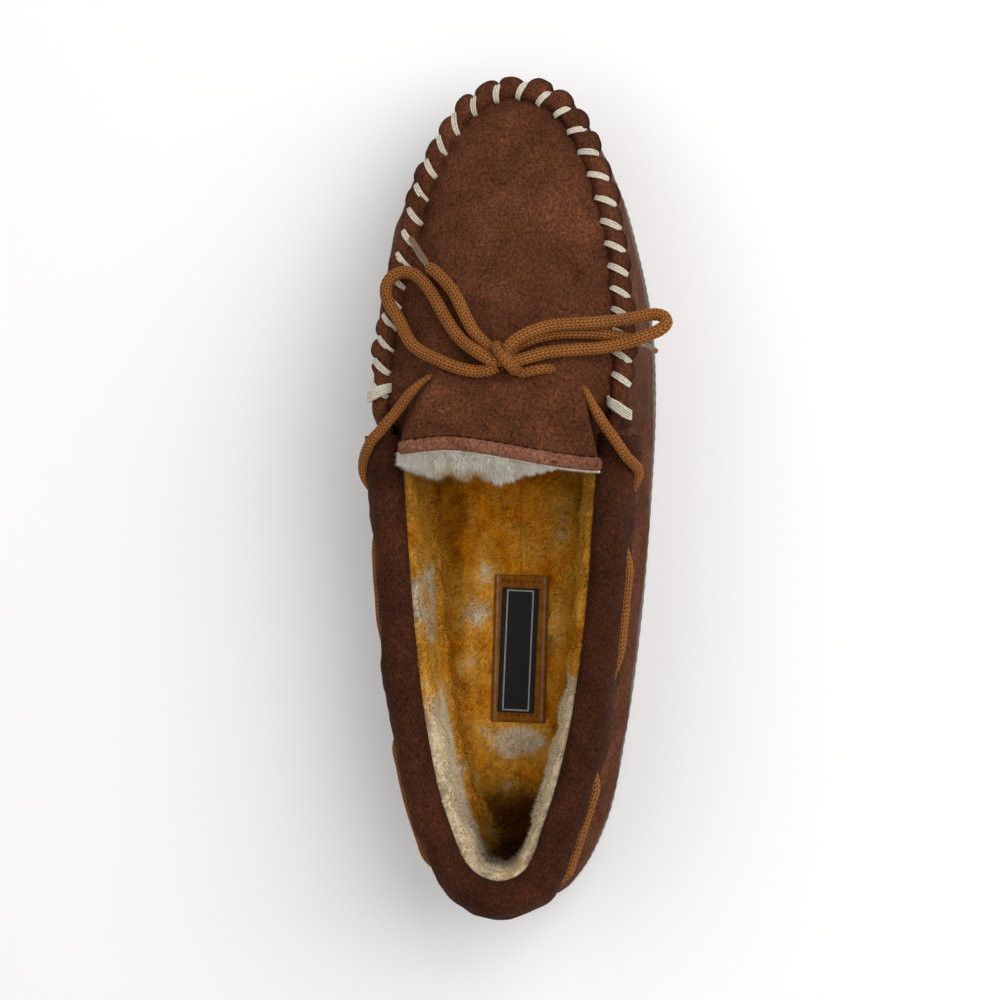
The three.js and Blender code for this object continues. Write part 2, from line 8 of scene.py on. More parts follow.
import bmesh
import bpy
import numpy as np
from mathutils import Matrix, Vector


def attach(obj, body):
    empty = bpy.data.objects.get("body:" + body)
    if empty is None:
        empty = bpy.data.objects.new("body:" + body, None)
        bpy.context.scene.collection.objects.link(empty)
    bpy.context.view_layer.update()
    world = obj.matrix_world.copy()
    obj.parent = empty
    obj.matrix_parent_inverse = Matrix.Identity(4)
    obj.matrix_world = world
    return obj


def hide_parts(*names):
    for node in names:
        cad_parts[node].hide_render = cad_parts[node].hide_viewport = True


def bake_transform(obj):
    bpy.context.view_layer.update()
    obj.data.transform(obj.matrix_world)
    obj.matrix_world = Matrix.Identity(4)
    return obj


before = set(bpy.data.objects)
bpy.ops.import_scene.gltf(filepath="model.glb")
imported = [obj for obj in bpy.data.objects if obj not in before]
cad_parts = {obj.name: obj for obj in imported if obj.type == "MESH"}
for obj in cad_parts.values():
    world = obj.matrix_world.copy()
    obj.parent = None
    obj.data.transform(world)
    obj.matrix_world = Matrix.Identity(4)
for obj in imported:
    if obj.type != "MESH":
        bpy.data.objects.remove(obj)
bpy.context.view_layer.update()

MM = 0.001
LACE = 4.2 * MM
OUTSOLE_TOP = 6.0
BELLY_Z = 18.0
STITCHES = 28
WHIP_STATIONS = (6.466, 15.666)
BAR_STATIONS = (6.2, 15.96)
APRON_STATIONS = (6.0, 16.0)
TOE_STATION = 11.0
COLLAR_END = 17 / 3
LACE_DROP = 11.0              # the lace's depth below the collar's top

# ---------------------------------------------------------------- camera
TARGET = Vector((-0.0032, -0.0021, 0.0353))
TILT = math.radians(9.0)
DISTANCE = 1.3
LENS = 136.7


def make_camera():
    camera = bpy.data.objects.new("camera", bpy.data.cameras.new("camera"))
    camera.data.lens = LENS
    camera.location = TARGET + DISTANCE * Vector((math.sin(TILT), 0, math.cos(TILT)))
    camera.rotation_euler = (0, TILT, 0)
    bpy.context.scene.collection.objects.link(camera)
    bpy.context.scene.camera = camera


# ---------------------------------------------------------------- curves and numbers
def mix(a, b, share):
    return a + (b - a) * share


def smooth(low, high, value):
    share = np.clip((np.asarray(value, float) - low) / (high - low), 0, 1)
    return share * share * (3 - 2 * share)


def unit(vectors):
    return vectors / np.maximum(np.linalg.norm(vectors, axis=-1, keepdims=True), 1e-12)


def catmull(points, t, closed=False):
    """Point at t on the centripetal Catmull-Rom curve, where t counts its control points."""
    points = np.asarray(points, float)
    t = np.atleast_1d(np.asarray(t, float))
    if closed:
        first = np.floor(t).astype(int)
        p0, p1, p2, p3 = (points[(first + k) % len(points)] for k in (-1, 0, 1, 2))
    else:
        first = np.clip(np.floor(t).astype(int), 0, len(points) - 2)
        ends = np.vstack([2 * points[:1] - points[1:2], points, 2 * points[-1:] - points[-2:-1]])
        p0, p1, p2, p3 = (ends[first + k] for k in (0, 1, 2, 3))
    w = (t - first)[:, None]
    d0, d1, d2 = (np.linalg.norm(b - a, axis=1, keepdims=True) ** 0.5 + 1e-9
                  for a, b in ((p0, p1), (p1, p2), (p2, p3)))
    slope1 = ((p1 - p0) / d0 - (p2 - p0) / (d0 + d1) + (p2 - p1) / d1) * d1
    slope2 = ((p2 - p1) / d1 - (p3 - p1) / (d1 + d2) + (p3 - p2) / d2) * d1
    square = -3 * p1 + 3 * p2 - 2 * slope1 - slope2
    cube = 2 * p1 - 2 * p2 + slope1 + slope2
    return p1 + w * (slope1 + w * (square + w * cube))


def even_points(points, step):
    """Points at equal distances along the curve, and the curve's length."""
    fine = catmull(points, np.linspace(0, len(points) - 1, 40 * len(points)))
    along = np.concatenate([[0], np.cumsum(np.linalg.norm(np.diff(fine, axis=0), axis=1))])
    at = np.linspace(0, along[-1], max(int(along[-1] / step), 8))
    return np.stack([np.interp(at, along, fine[:, k]) for k in range(3)], axis=1), along[-1]


def ripple(points, size, seed, waves=20):
    """Smooth random height of about -1 to 1, with bumps of the given size."""
    draw = np.random.default_rng(seed)
    ways = unit(draw.normal(size=(waves, 3))) * draw.uniform(0.6, 1.5, (waves, 1)) * 2 * np.pi / size
    phases = draw.uniform(0, 2 * np.pi, waves)
    return np.sin(points @ ways.T + phases).sum(-1) * (1.1 / waves ** 0.5)


# ---------------------------------------------------------------- mesh building
def grid_faces(rows, columns, wrap_rows=False, wrap_columns=False):
    last_row, last_column = rows - (not wrap_rows), columns - (not wrap_columns)
    r, c = np.meshgrid(np.arange(last_row), np.arange(last_column), indexing="ij")
    r2, c2 = (r + 1) % rows, (c + 1) % columns
    corners = [r * columns + c, r * columns + c2, r2 * columns + c2, r2 * columns + c]
    return np.stack(corners, -1).reshape(-1, 4)


def piece(name, points, faces, material, body="slipper", covers=(), weld=0.0, thick=0.0,
          marks=None):
    """A smooth-shaded mesh that rides on a body and stands for the CAD nodes that it covers."""
    mesh = bpy.data.meshes.new(name)
    mesh.from_pydata(np.asarray(points).reshape(-1, 3).tolist(), [], [list(map(int, f)) for f in faces])
    for key, values in (marks or {}).items():
        mark = mesh.attributes.new(key, "FLOAT", "POINT")
        mark.data.foreach_set("value", np.asarray(values, np.float32).ravel())
    shape = bmesh.new()
    shape.from_mesh(mesh)
    if weld:
        bmesh.ops.remove_doubles(shape, verts=shape.verts, dist=weld)
    if thick:
        bmesh.ops.recalc_face_normals(shape, faces=shape.faces)
        bmesh.ops.solidify(shape, geom=shape.faces[:], thickness=thick)
    bmesh.ops.recalc_face_normals(shape, faces=shape.faces)
    for face in shape.faces:
        face.smooth = True
    shape.to_mesh(mesh)
    shape.free()
    mesh.materials.append(material)
    thing = bpy.data.objects.new(name, mesh)
    bpy.context.scene.collection.objects.link(thing)
    if body:
        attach(thing, body)
    if covers:
        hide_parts(*covers)
    return thing


def end_caps(rings, count):
    """The two flat faces that close a tube of rings."""
    last = (rings - 1) * count
    return [list(range(count)), list(range(last + count - 1, last - 1, -1))]


def joined(parts):
    """Several (points, faces) as one."""
    points, faces, start = [], [], 0
    for part_points, part_faces in parts:
        part_points = np.asarray(part_points).reshape(-1, 3)
        points.append(part_points)
        faces += [[start + int(i) for i in face] for face in part_faces]
        start += len(part_points)
    return np.vstack(points), faces


def carried(path):
    """Two directions square to a path, which turn with it and don't twist."""
    tangents = unit(np.gradient(path, axis=0))
    side = np.cross(tangents[0], (0, 0, 1.0))
    side = unit(side if np.linalg.norm(side) > 0.1 else np.cross(tangents[0], (1.0, 0, 0)))
    sides = []
    for tangent in tangents:
        side = unit(side - tangent * (side @ tangent))
        sides.append(side)
    sides = np.array(sides)
    return sides, np.cross(tangents, sides)


def swept(path, outline):
    """A closed solid of rings round a path. outline(i) gives ring i's (side, up) points in metres."""
    sides, ups = carried(path)
    rings = []
    for i, centre in enumerate(path):
        across = outline(i)
        rings.append(centre + across[:, :1] * sides[i] + across[:, 1:] * ups[i])
    count = len(rings[0])
    faces = [list(f) for f in grid_faces(len(rings), count, wrap_columns=True)]
    return np.array(rings), faces + end_caps(len(rings), count)


# ---------------------------------------------------------------- materials
class Look:
    """A procedural material: a Principled shader with its noise, colours and bump."""

    def __init__(self, name, **settings):
        self.material = bpy.data.materials.new(name)
        self.material.use_nodes = True
        self.tree = self.material.node_tree
        self.shader = self.tree.nodes["Principled BSDF"]
        self.place = self.tree.nodes.new("ShaderNodeTexCoord").outputs["Object"]
        self.normal = None
        for key, value in settings.items():
            self.shader.inputs[key.replace("_", " ")].default_value = value

    def add(self, kind, inputs=None, **settings):
        node = self.tree.nodes.new(kind)
        for key, value in settings.items():
            setattr(node, key, value)
        for key, value in (inputs or {}).items():
            if isinstance(value, bpy.types.NodeSocket):
                self.tree.links.new(value, node.inputs[key])
            else:
                node.inputs[key].default_value = value
        return node

    def noise(self, size, detail=3.0, rough=0.6, stretch=None, warp=0.0):
        where = self.place
        if stretch:
            stretched = {"Vector": self.place, "Scale": stretch}
            where = self.add("ShaderNodeMapping", stretched).outputs["Vector"]
        inputs = {"Vector": where, "Scale": 1 / size, "Detail": detail, "Roughness": rough,
                  "Distortion": warp}
        return self.add("ShaderNodeTexNoise", inputs).outputs["Fac"]

    def mark(self, name):
        return self.add("ShaderNodeAttribute", attribute_name=name).outputs["Fac"]

    def math(self, operation, a, b=0.0, clamp=False):
        node = self.add("ShaderNodeMath", operation=operation, use_clamp=clamp)
        for socket, value in zip(node.inputs, (a, b)):
            if isinstance(value, bpy.types.NodeSocket):
                self.tree.links.new(value, socket)
            else:
                socket.default_value = value
        return node.outputs[0]

    def ramp(self, value, *stops):
        """Colours or grey levels at given values, with smooth changes between."""
        node = self.add("ShaderNodeValToRGB", {"Fac": value})
        elements = node.color_ramp.elements
        while len(elements) < len(stops):
            elements.new(0.5)
        for element, (at, color) in zip(elements, stops):
            element.position = at
            element.color = (*color, 1) if isinstance(color, tuple) else (color, color, color, 1)
        return node.outputs["Color"]

    def blend(self, share, a, b, how="MIX"):
        node = self.add("ShaderNodeMix", data_type="RGBA", blend_type=how)
        for socket, value in zip((node.inputs["Factor"], node.inputs[6], node.inputs[7]), (share, a, b)):
            if isinstance(value, bpy.types.NodeSocket):
                self.tree.links.new(value, socket)
            else:
                socket.default_value = value if isinstance(value, float) else (*value, 1)
        return node.outputs[2]

    def color(self, value):
        self.tree.links.new(value, self.shader.inputs["Base Color"])

    def roughness(self, value):
        self.tree.links.new(value, self.shader.inputs["Roughness"])

    def bump(self, height, distance, strength=1.0):
        inputs = {"Height": height, "Distance": distance, "Strength": strength}
        if self.normal is not None:
            inputs["Normal"] = self.normal
        self.normal = self.add("ShaderNodeBump", inputs).outputs["Normal"]
        self.tree.links.new(self.normal, self.shader.inputs["Normal"])


def suede_look(name, dark, middle, light, edge=None):
    """Napped leather: brushed patches, worn spots and a fine speckle of fibre ends."""
    look = Look(name, Roughness=0.95, Specular_IOR_Level=0.12, Sheen_Weight=0.05, Sheen_Roughness=0.5,
                Sheen_Tint=(*light, 1))
    brushed = look.ramp(look.noise(0.022, 4, 0.62, warp=0.6), (0.3, dark), (0.52, middle), (0.74, light))
    worn = look.ramp(look.noise(0.006, 4, 0.65, warp=0.5), (0.32, 0.88), (0.5, 1.0), (0.7, 1.14))
    nap = look.ramp(look.noise(0.0010, 4, 0.78), (0.32, 0.42), (0.5, 0.96), (0.68, 1.62))
    fibres = look.ramp(look.noise(0.0005, 2, 0.6, stretch=(1.0, 0.35, 1.0)), (0.35, 0.72), (0.65, 1.25))
    color = look.blend(1.0, look.blend(1.0, brushed, nap, "MULTIPLY"), fibres, "MULTIPLY")
    color = look.blend(1.0, color, worn, "MULTIPLY")
    # Painted shade: where the edge mark is set, the colour goes toward near black, along the seam groove and
    # on the wings under the tongue.
    if edge:
        color = look.blend(look.mark("edge"), color, edge)
    look.color(color)
    look.bump(look.noise(0.0034, 4, 0.6), 0.0007, 0.45)
    look.bump(look.noise(0.0006, 3, 0.7), 0.00035, 0.6)
    return look.material


def fleece_look(name, gold_dark, gold, gold_light, pale, cream, shade_brown):
    """Sheepskin: gold, through pale gold to cream where the mark says so, and dark painted shade where the
    shade mark says so.
    """
    look = Look(name, Roughness=1.0, Specular_IOR_Level=0.05)
    golds = look.noise(0.007, 4, 0.62, warp=0.4)
    mottle = look.ramp(golds, (0.32, gold_dark), (0.5, gold), (0.7, gold_light))
    flecks = look.ramp(look.noise(0.0013, 3, 0.7), (0.32, 0.82), (0.5, 1.0), (0.7, 1.1))
    uneven = look.math("MULTIPLY", look.noise(0.009, 4, 0.6, warp=0.3), 0.9)
    patches = look.math("ADD", look.mark("cream"), uneven)
    to_pale = look.ramp(patches, (0.4, 0.0), (0.74, 1.0))
    to_cream = look.ramp(patches, (0.78, 0.0), (1.02, 0.9))
    color = look.blend(to_cream, look.blend(to_pale, mottle, pale), cream)
    # Painted shade at the pile's roots: a little darker at the tufts' roots and on the surface among them,
    # lighter at the tips.
    shade = look.ramp(look.mark("tip"), (0.0, 0.92), (0.6, 1.0), (1.0, 1.03))
    color = look.blend(1.0, look.blend(1.0, color, flecks, "MULTIPLY"), shade, "MULTIPLY")
    # Painted shade: the colour goes toward the dark shade colour where the shade mark is set.
    look.color(look.blend(look.mark("deep"), color, shade_brown))
    look.bump(look.noise(0.0009, 3, 0.7), 0.0004, 0.35)
    return look.material


def white_fleece_look():
    look = Look("white_fleece", Roughness=1.0, Specular_IOR_Level=0.05)
    cream = look.ramp(look.noise(0.004, 3, 0.6), (0.35, (0.78, 0.71, 0.57)), (0.65, (0.98, 0.94, 0.85)))
    gold = look.ramp(look.noise(0.009, 3, 0.6), (0.42, (0.62, 0.36, 0.08)), (0.58, (0.8, 0.66, 0.42)))
    look.color(look.blend(look.ramp(look.mark("tip"), (0.5, 0.0), (0.95, 1.0)), cream, gold))
    look.bump(look.noise(0.0008, 3, 0.7), 0.0003, 0.4)
    return look.material


def braid_look():
    """Tan polyester braid. The mark runs from 0 in the grooves to 1 on the strands."""
    look = Look("lace_braid", Roughness=0.75, Specular_IOR_Level=0.22)
    # Painted shade in the grooves: near black between the strands, tan on their tops.
    strand = look.ramp(look.mark("strand"), (0.0, (0.03, 0.006, 0.001)), (0.5, (0.17, 0.05, 0.007)),
                       (1.0, (0.42, 0.163, 0.027)))
    fine = look.ramp(look.noise(0.0007, 3, 0.7), (0.3, 0.72), (0.7, 1.2))
    worn = look.ramp(look.noise(0.012, 3, 0.6), (0.35, 0.88), (0.65, 1.1))
    look.color(look.blend(1.0, look.blend(1.0, strand, fine, "MULTIPLY"), worn, "MULTIPLY"))
    look.bump(look.noise(0.00035, 2, 0.6), 0.0001, 0.5)
    return look.material


def thread_look(name, dark, light):
    """Waxed multi-strand thread."""
    look = Look(name, Roughness=0.65, Specular_IOR_Level=0.3)
    fibres = look.ramp(look.noise(0.0005, 3, 0.65), (0.3, dark), (0.65, light))
    soil = look.ramp(look.noise(0.01, 3, 0.6), (0.35, 0.86), (0.65, 1.05))
    look.color(look.blend(1.0, fibres, soil, "MULTIPLY"))
    look.bump(look.noise(0.0004, 2, 0.6), 0.00015, 0.6)
    return look.material


def grained_look(name, dark, light, size, rough, bump=0.0002, stretch=None):
    """Board, foam, rubber and smooth leather: two tones, a grain of the given size and its bump."""
    look = Look(name, Roughness=rough, Specular_IOR_Level=0.3)
    tone = look.ramp(look.noise(size, 4, 0.65, stretch=stretch), (0.34, dark), (0.66, light))
    soil = look.ramp(look.noise(0.02, 3, 0.6), (0.35, 0.88), (0.65, 1.06))
    look.color(look.blend(1.0, tone, soil, "MULTIPLY"))
    look.roughness(look.ramp(look.noise(size * 2, 2), (0.3, rough * 0.85), (0.7, min(rough * 1.1, 1.0))))
    look.bump(look.noise(size, 3, 0.7, stretch=stretch), bump, 0.6)
    return look.material


def label_look():
    """Fine black twill with a pale woven frame where the mark says so."""
    look = Look("label_weave", Roughness=0.8, Specular_IOR_Level=0.12)
    twill = look.add("ShaderNodeTexWave", {"Vector": look.place, "Scale": 620.0, "Distortion": 0.4},
                     bands_direction="DIAGONAL").outputs["Fac"]
    cloth = look.ramp(twill, (0.25, (0.010, 0.010, 0.0108)), (0.85, (0.026, 0.026, 0.0275)))
    pale = look.ramp(look.noise(0.0004, 2), (0.3, (0.2, 0.19, 0.17)), (0.7, (0.38, 0.36, 0.32)))
    look.color(look.blend(look.mark("frame"), cloth, pale))
    look.bump(twill, 0.00005, 0.5)
    return look.material


def aglet_look():
    look = Look("aglet_plastic", Roughness=0.22, Specular_IOR_Level=0.5, Coat_Weight=0.5,
                Coat_Roughness=0.1, Transmission_Weight=0.25)
    look.color(look.ramp(look.noise(0.0018, 3, 0.6, stretch=(1.0, 0.5, 1.0)),
                         (0.3, (0.10, 0.045, 0.02)), (0.7, (0.24, 0.13, 0.065))))
    look.bump(look.noise(0.0012, 2), 0.0001, 0.4)
    return look.material


def make_looks():
    patch = Look("patch_leather", Roughness=0.7, Specular_IOR_Level=0.12)
    tan = patch.ramp(patch.noise(0.004, 4, 0.6),
                     (0.35, (0.168, 0.052, 0.0011)), (0.65, (0.265, 0.096, 0.0024)))
    # Painted highlight: the raised bead along each side is coloured paler, as light along its crest.
    bead_highlight = patch.ramp(patch.noise(0.002, 3),
                      (0.35, (0.24, 0.11, 0.06)), (0.65, (0.34, 0.18, 0.11)))
    # Painted shade in the stitch holes: the colour drops to about a sixth there.
    hole = patch.ramp(patch.mark("hole"), (0.0, 1.0), (1.0, 0.16))
    patch.color(patch.blend(1.0, patch.blend(patch.mark("rim"), tan, bead_highlight), hole, "MULTIPLY"))
    patch.bump(patch.noise(0.0007, 3, 0.7), 0.00015, 0.5)
    return {
        "suede": suede_look("suede", (0.060, 0.0182, 0.0068), (0.092, 0.0298, 0.0120),
                            (0.132, 0.0440, 0.0190), edge=(0.018, 0.006, 0.003)),
        "collar_suede": suede_look("collar_suede", (0.029, 0.0080, 0.0028), (0.045, 0.0128, 0.0048),
                                   (0.066, 0.0195, 0.0078)),
        "binding": suede_look("binding", (0.14, 0.052, 0.028), (0.195, 0.077, 0.044), (0.25, 0.105, 0.063)),
        "fleece": fleece_look("fleece", (0.45, 0.132, 0.0015), (0.61, 0.208, 0.0025), (0.70, 0.285, 0.008),
                              (0.66, 0.325, 0.04), (0.66, 0.56, 0.39), (0.022, 0.004, 0.0003)),
        "white_fleece": white_fleece_look(),
        "lace_braid": braid_look(),
        "thread": thread_look("thread", (0.36, 0.31, 0.23), (0.72, 0.66, 0.54)),
        "dark_thread": suede_look("dark_thread", (0.014, 0.005, 0.0025), (0.024, 0.009, 0.005),
                                  (0.04, 0.016, 0.009)),
        "board": grained_look("board", (0.32, 0.25, 0.17), (0.5, 0.41, 0.3), 0.0014, 0.9),
        "foam": grained_look("foam", (0.6, 0.56, 0.47), (0.78, 0.74, 0.66), 0.0009, 0.95, 0.0003),
        "sole_rubber": grained_look("sole_rubber", (0.12, 0.09, 0.072), (0.19, 0.15, 0.122), 0.0012, 0.8),
        "patch_leather": patch.material,
        "label_weave": label_look(),
        "aglet_plastic": aglet_look(),
    }


# ---------------------------------------------------------------- rails round the shoe
# From the heel up the inner side, round the toe and back: the sole's edge and the rim.
STATIONS = [
    ((0, -0.1411), (0.001, -0.1361, 0.069)),
    ((-0.0175, -0.1346), (-0.013, -0.1306, 0.0675)),
    ((-0.0295, -0.1151), (-0.024, -0.1091, 0.065)),
    ((-0.036, -0.0841), (-0.031, -0.0811, 0.062)),
    ((-0.041, -0.0441), (-0.0358, -0.0441, 0.0605)),
    ((-0.0445, -0.0021), (-0.0385, -0.0021, 0.0625)),
    ((-0.047, 0.0319), (-0.0398, 0.0299, 0.0645)),
    ((-0.0468, 0.0599), (-0.0368, 0.0589, 0.058)),
    ((-0.0425, 0.0859), (-0.0318, 0.0849, 0.052)),
    ((-0.0335, 0.1099), (-0.025, 0.1099, 0.048)),
    ((-0.0175, 0.1294), (-0.012, 0.1304, 0.0455)),
    ((0.0025, 0.1359), (0.0027, 0.1367, 0.0445)),
    ((0.0205, 0.1289), (0.018, 0.1304, 0.0455)),
    ((0.033, 0.1069), (0.0305, 0.1099, 0.048)),
    ((0.0405, 0.0819), (0.0375, 0.0849, 0.052)),
    ((0.045, 0.0579), (0.0408, 0.0589, 0.058)),
    ((0.0461, 0.0319), (0.0413, 0.0299, 0.0645)),
    ((0.0445, -0.0021), (0.0388, -0.0021, 0.0625)),
    ((0.041, -0.0441), (0.0352, -0.0441, 0.0605)),
    ((0.0355, -0.0841), (0.03, -0.0811, 0.062)),
    ((0.0285, -0.1151), (0.023, -0.1091, 0.065)),
    ((0.017, -0.1346), (0.014, -0.1306, 0.0675)),
]
SOLE = [(*sole, 0) for sole, _ in STATIONS]
RIM = [rim for _, rim in STATIONS]
SPINE = [
    (0.003, 0.0302, 0.078), (0.0031, 0.0579, 0.072), (0.0031, 0.0859, 0.063), (0.0029, 0.1079, 0.0558),
    (0.0027, 0.1209, 0.051),
]


class Rail:
    """Local frames at stations round the shoe."""

    def __init__(self, stations):
        self.stations = np.asarray(stations, float)
        turn = self.stations % len(STATIONS)
        self.rim = catmull(RIM, turn, closed=True)
        ahead = catmull(RIM, turn + 0.088, closed=True)
        behind = catmull(RIM, turn - 0.088, closed=True)
        self.along = unit((ahead - behind)[:, :2])
        self.out = np.stack([-self.along[:, 1], self.along[:, 0]], axis=1)
        to_sole = catmull(SOLE, turn, closed=True)[:, :2] - self.rim[:, :2]
        self.sole_out = (to_sole * self.out).sum(1) / MM
        self.sole_along = (to_sole * self.along).sum(1)
        self.height = self.rim[:, 2] / MM

    def place(self, n, z):
        """Points at n outward and z above the ground, in millimetres, one row for each station."""
        n = np.broadcast_to(n, np.broadcast_shapes(np.shape(n), np.shape(z)))
        z = np.broadcast_to(z, n.shape)
        low = 1 - np.clip((z - OUTSOLE_TOP) / (self.height[:, None] - OUTSOLE_TOP), 0, 1)
        plan = (self.rim[:, None, :2] + n[..., None] * MM * self.out[:, None]
                + (self.sole_along[:, None] * low)[..., None] * self.along[:, None])
        return np.concatenate([plan, z[..., None] * MM], axis=-1)


def point_at(station, n, above_rim):
    rail = Rail([station])
    return rail.place(np.array([[n]]), rail.height[:, None] + above_rim)[0, 0]


def even_stations(start, end, count):
    fine = np.linspace(start, end, 401)
    rims = Rail(fine).rim
    along = np.concatenate([[0], np.cumsum(np.linalg.norm(np.diff(rims, axis=0), axis=1))])
    return np.interp(np.linspace(0, along[-1], count), along, fine)


STITCH_STATIONS = even_stations(*WHIP_STATIONS, STITCHES + 1)


def seam_index(stations):
    """The station as a count of whip stitches, which runs on past both ends."""
    start, end = STITCH_STATIONS[0], STITCH_STATIONS[-1]
    first_pitch, last_pitch = STITCH_STATIONS[1] - start, end - STITCH_STATIONS[-2]
    index = np.interp(stations, STITCH_STATIONS, np.arange(STITCHES + 1))
    index = np.where(stations < start, (stations - start) / first_pitch, index)
    return np.where(stations > end, STITCHES + (stations - end) / last_pitch, index)


def slant(station):
    """How far along, in stitches, a whip stitch's outer end is ahead of its inner end."""
    return 0.27 + 0.33 * smooth(10.9, 9.6, station) + 0.26 * smooth(12.2, 13.2, station)


def outer_place(station):
    """How far along, in stitches, a whip stitch's outer end is ahead of its station."""
    left = 0.34 * smooth(10.0, 8.5, station) - 0.3 * smooth(8.0, 6.8, station)
    return 0.24 - left + 0.46 * smooth(12.2, 13.6, station) * (1 - 0.5 * smooth(14.4, 15.6, station))


def front_share(stations):
    return smooth(5.67, 5.95, stations) * (1 - smooth(16.05, 16.33, stations))


# ---------------------------------------------------------------- laces
LACE_LEFT_FRONT = [
    (0.0045, 0.0425, 0.0762), (0.0008, 0.0415, 0.0740), (-0.0031, 0.0398, 0.0712), (-0.0075, 0.0385, 0.0692),
    (-0.0135, 0.0383, 0.0682), (-0.0179, 0.0389, 0.0696), (-0.0211, 0.0387, 0.0738), (-0.0261, 0.0347, 0.0746),
    (-0.0321, 0.0281, 0.0708), (-0.0379, 0.0219, 0.0686), (-0.0427, 0.0167, 0.0662),
]
LACE_RIGHT_FRONT = [
    (0.0441, 0.0125, 0.0662), (0.0409, 0.0177, 0.0690), (0.0369, 0.0235, 0.0702), (0.0339, 0.0289, 0.0720),
    (0.0319, 0.0335, 0.0734), (0.0297, 0.0359, 0.0706), (0.0265, 0.0385, 0.0667), (0.0240, 0.0398, 0.0680),
    (0.0215, 0.0411, 0.0713), (0.0190, 0.0414, 0.0752), (0.0160, 0.0410, 0.0775), (0.0125, 0.0403, 0.0782),
    (0.0088, 0.0397, 0.0778),
]
LOOP_LEFT = [
    (0.0015, 0.0439, 0.0813), (-0.0007, 0.0451, 0.0809), (-0.0040, 0.0470, 0.0798), (-0.0095, 0.0509, 0.0764),
    (-0.0142, 0.0563, 0.0732), (-0.0184, 0.0628, 0.0698), (-0.0218, 0.0679, 0.0668), (-0.0251, 0.0716, 0.0640),
    (-0.0284, 0.0739, 0.0620), (-0.0322, 0.0747, 0.0606), (-0.0359, 0.0733, 0.0602), (-0.0379, 0.0705, 0.0602),
    (-0.0380, 0.0669, 0.0608), (-0.0359, 0.0626, 0.0622), (-0.0328, 0.0582, 0.0644), (-0.0303, 0.0538, 0.0670),
    (-0.0273, 0.0498, 0.0702), (-0.0228, 0.0468, 0.0732), (-0.0173, 0.0443, 0.0759), (-0.0121, 0.0422, 0.0775),
    (-0.0070, 0.0409, 0.0783), (-0.0030, 0.0405, 0.0786),
]
END_LEFT = [
    (-0.0003, 0.0483, 0.0769), (-0.0023, 0.0502, 0.0764), (-0.0054, 0.0534, 0.0754), (-0.0080, 0.0575, 0.0740),
    (-0.0103, 0.0619, 0.0724), (-0.0130, 0.0666, 0.0703), (-0.0166, 0.0709, 0.0678), (-0.0202, 0.0743, 0.0654),
    (-0.0226, 0.0758, 0.0639),
]
AGLET_LEFT = [(-0.0230, 0.0761, 0.0636), (-0.0265, 0.0809, 0.0602), (-0.0300, 0.0858, 0.0568)]
LOOP_RIGHT = [
    (0.0076, 0.0491, 0.0813), (0.0097, 0.0510, 0.0809), (0.0139, 0.0533, 0.0799), (0.0203, 0.0554, 0.0778),
    (0.0282, 0.0562, 0.0752), (0.0361, 0.0568, 0.0719), (0.0440, 0.0579, 0.0678), (0.0499, 0.0591, 0.0652),
    (0.0539, 0.0596, 0.0644), (0.0567, 0.0587, 0.0650), (0.0576, 0.0565, 0.0668), (0.0557, 0.0543, 0.0688),
    (0.0511, 0.0523, 0.0696), (0.0459, 0.0505, 0.0698), (0.0393, 0.0488, 0.0706), (0.0329, 0.0480, 0.0726),
    (0.0249, 0.0474, 0.0754), (0.0186, 0.0465, 0.0780), (0.0140, 0.0452, 0.0794), (0.0113, 0.0444, 0.0802),
]
END_RIGHT = [
    (0.0085, 0.0487, 0.0764), (0.0141, 0.0513, 0.0758), (0.0197, 0.0528, 0.0738), (0.0277, 0.0534, 0.0712),
    (0.0356, 0.0531, 0.0679), (0.0412, 0.0522, 0.0656), (0.0453, 0.0512, 0.0646),
]
AGLET_RIGHT = [(0.0458, 0.05105, 0.0645), (0.0494, 0.0495, 0.0630), (0.0530, 0.0478, 0.0608)]
# Where the lace comes up through the apron on its way to the collar.
LACE_HOLES = [(-0.0209, 0.0389, 0.0735), (0.0304, 0.0353, 0.0722)]

# Stretches that run on from the bow's routes into the knot.
INTO_KNOT = {
    "loop_left": ([(0.0070, 0.0438, 0.0795), (0.0045, 0.0440, 0.0807)],
                  [(0.0002, 0.0411, 0.0794), (0.0032, 0.0424, 0.0800)]),
    "end_left": ([(0.0045, 0.0445, 0.0785), (0.0021, 0.0464, 0.0776)], []),
    "loop_right": ([(0.0050, 0.0440, 0.0797), (0.0058, 0.0468, 0.0810)],
                   [(0.0092, 0.0438, 0.0805), (0.0072, 0.0436, 0.0800)]),
    "end_right": ([(0.0062, 0.0450, 0.0786), (0.0070, 0.0468, 0.0774)], []),
}

LACE_INSIDE = 1.35            # the lace's outward place inside the collar, in millimetres
LACE_OUTSIDE = 5.7            # and where it shows in a window
WINDOWS = [(-2.6, -1.2), (-4.6, -3.6), (1.4, 3.0), (3.8, 4.7)]

BRAID_COLUMNS = 12
BRAID_PITCH = 1.45 * MM
BRAID_SIDES = 48
BRAID_STEP = 0.27 * MM


def window_share(stations):
    share = np.zeros(np.shape(stations))
    for start, end in WINDOWS:
        opening = smooth(start - 0.2, start + 0.1, stations) * (1 - smooth(end - 0.1, end + 0.2, stations))
        share = np.maximum(share, opening)
    return share


def lace_route():
    """The held lace: from the knot through the left hole, round the collar and back."""
    stations = np.linspace(4.9, -4.9, 45)
    rail = Rail(stations)
    held = rail.place(mix(LACE_INSIDE, LACE_OUTSIDE, window_share(stations))[:, None],
                      (rail.height - LACE_DROP)[:, None])[:, 0]
    left, right = point_at(5.28, 7.4, -7.0), point_at(-5.28, 7.4, -7.0)
    return np.vstack([LACE_LEFT_FRONT, left, held, right, LACE_RIGHT_FRONT])


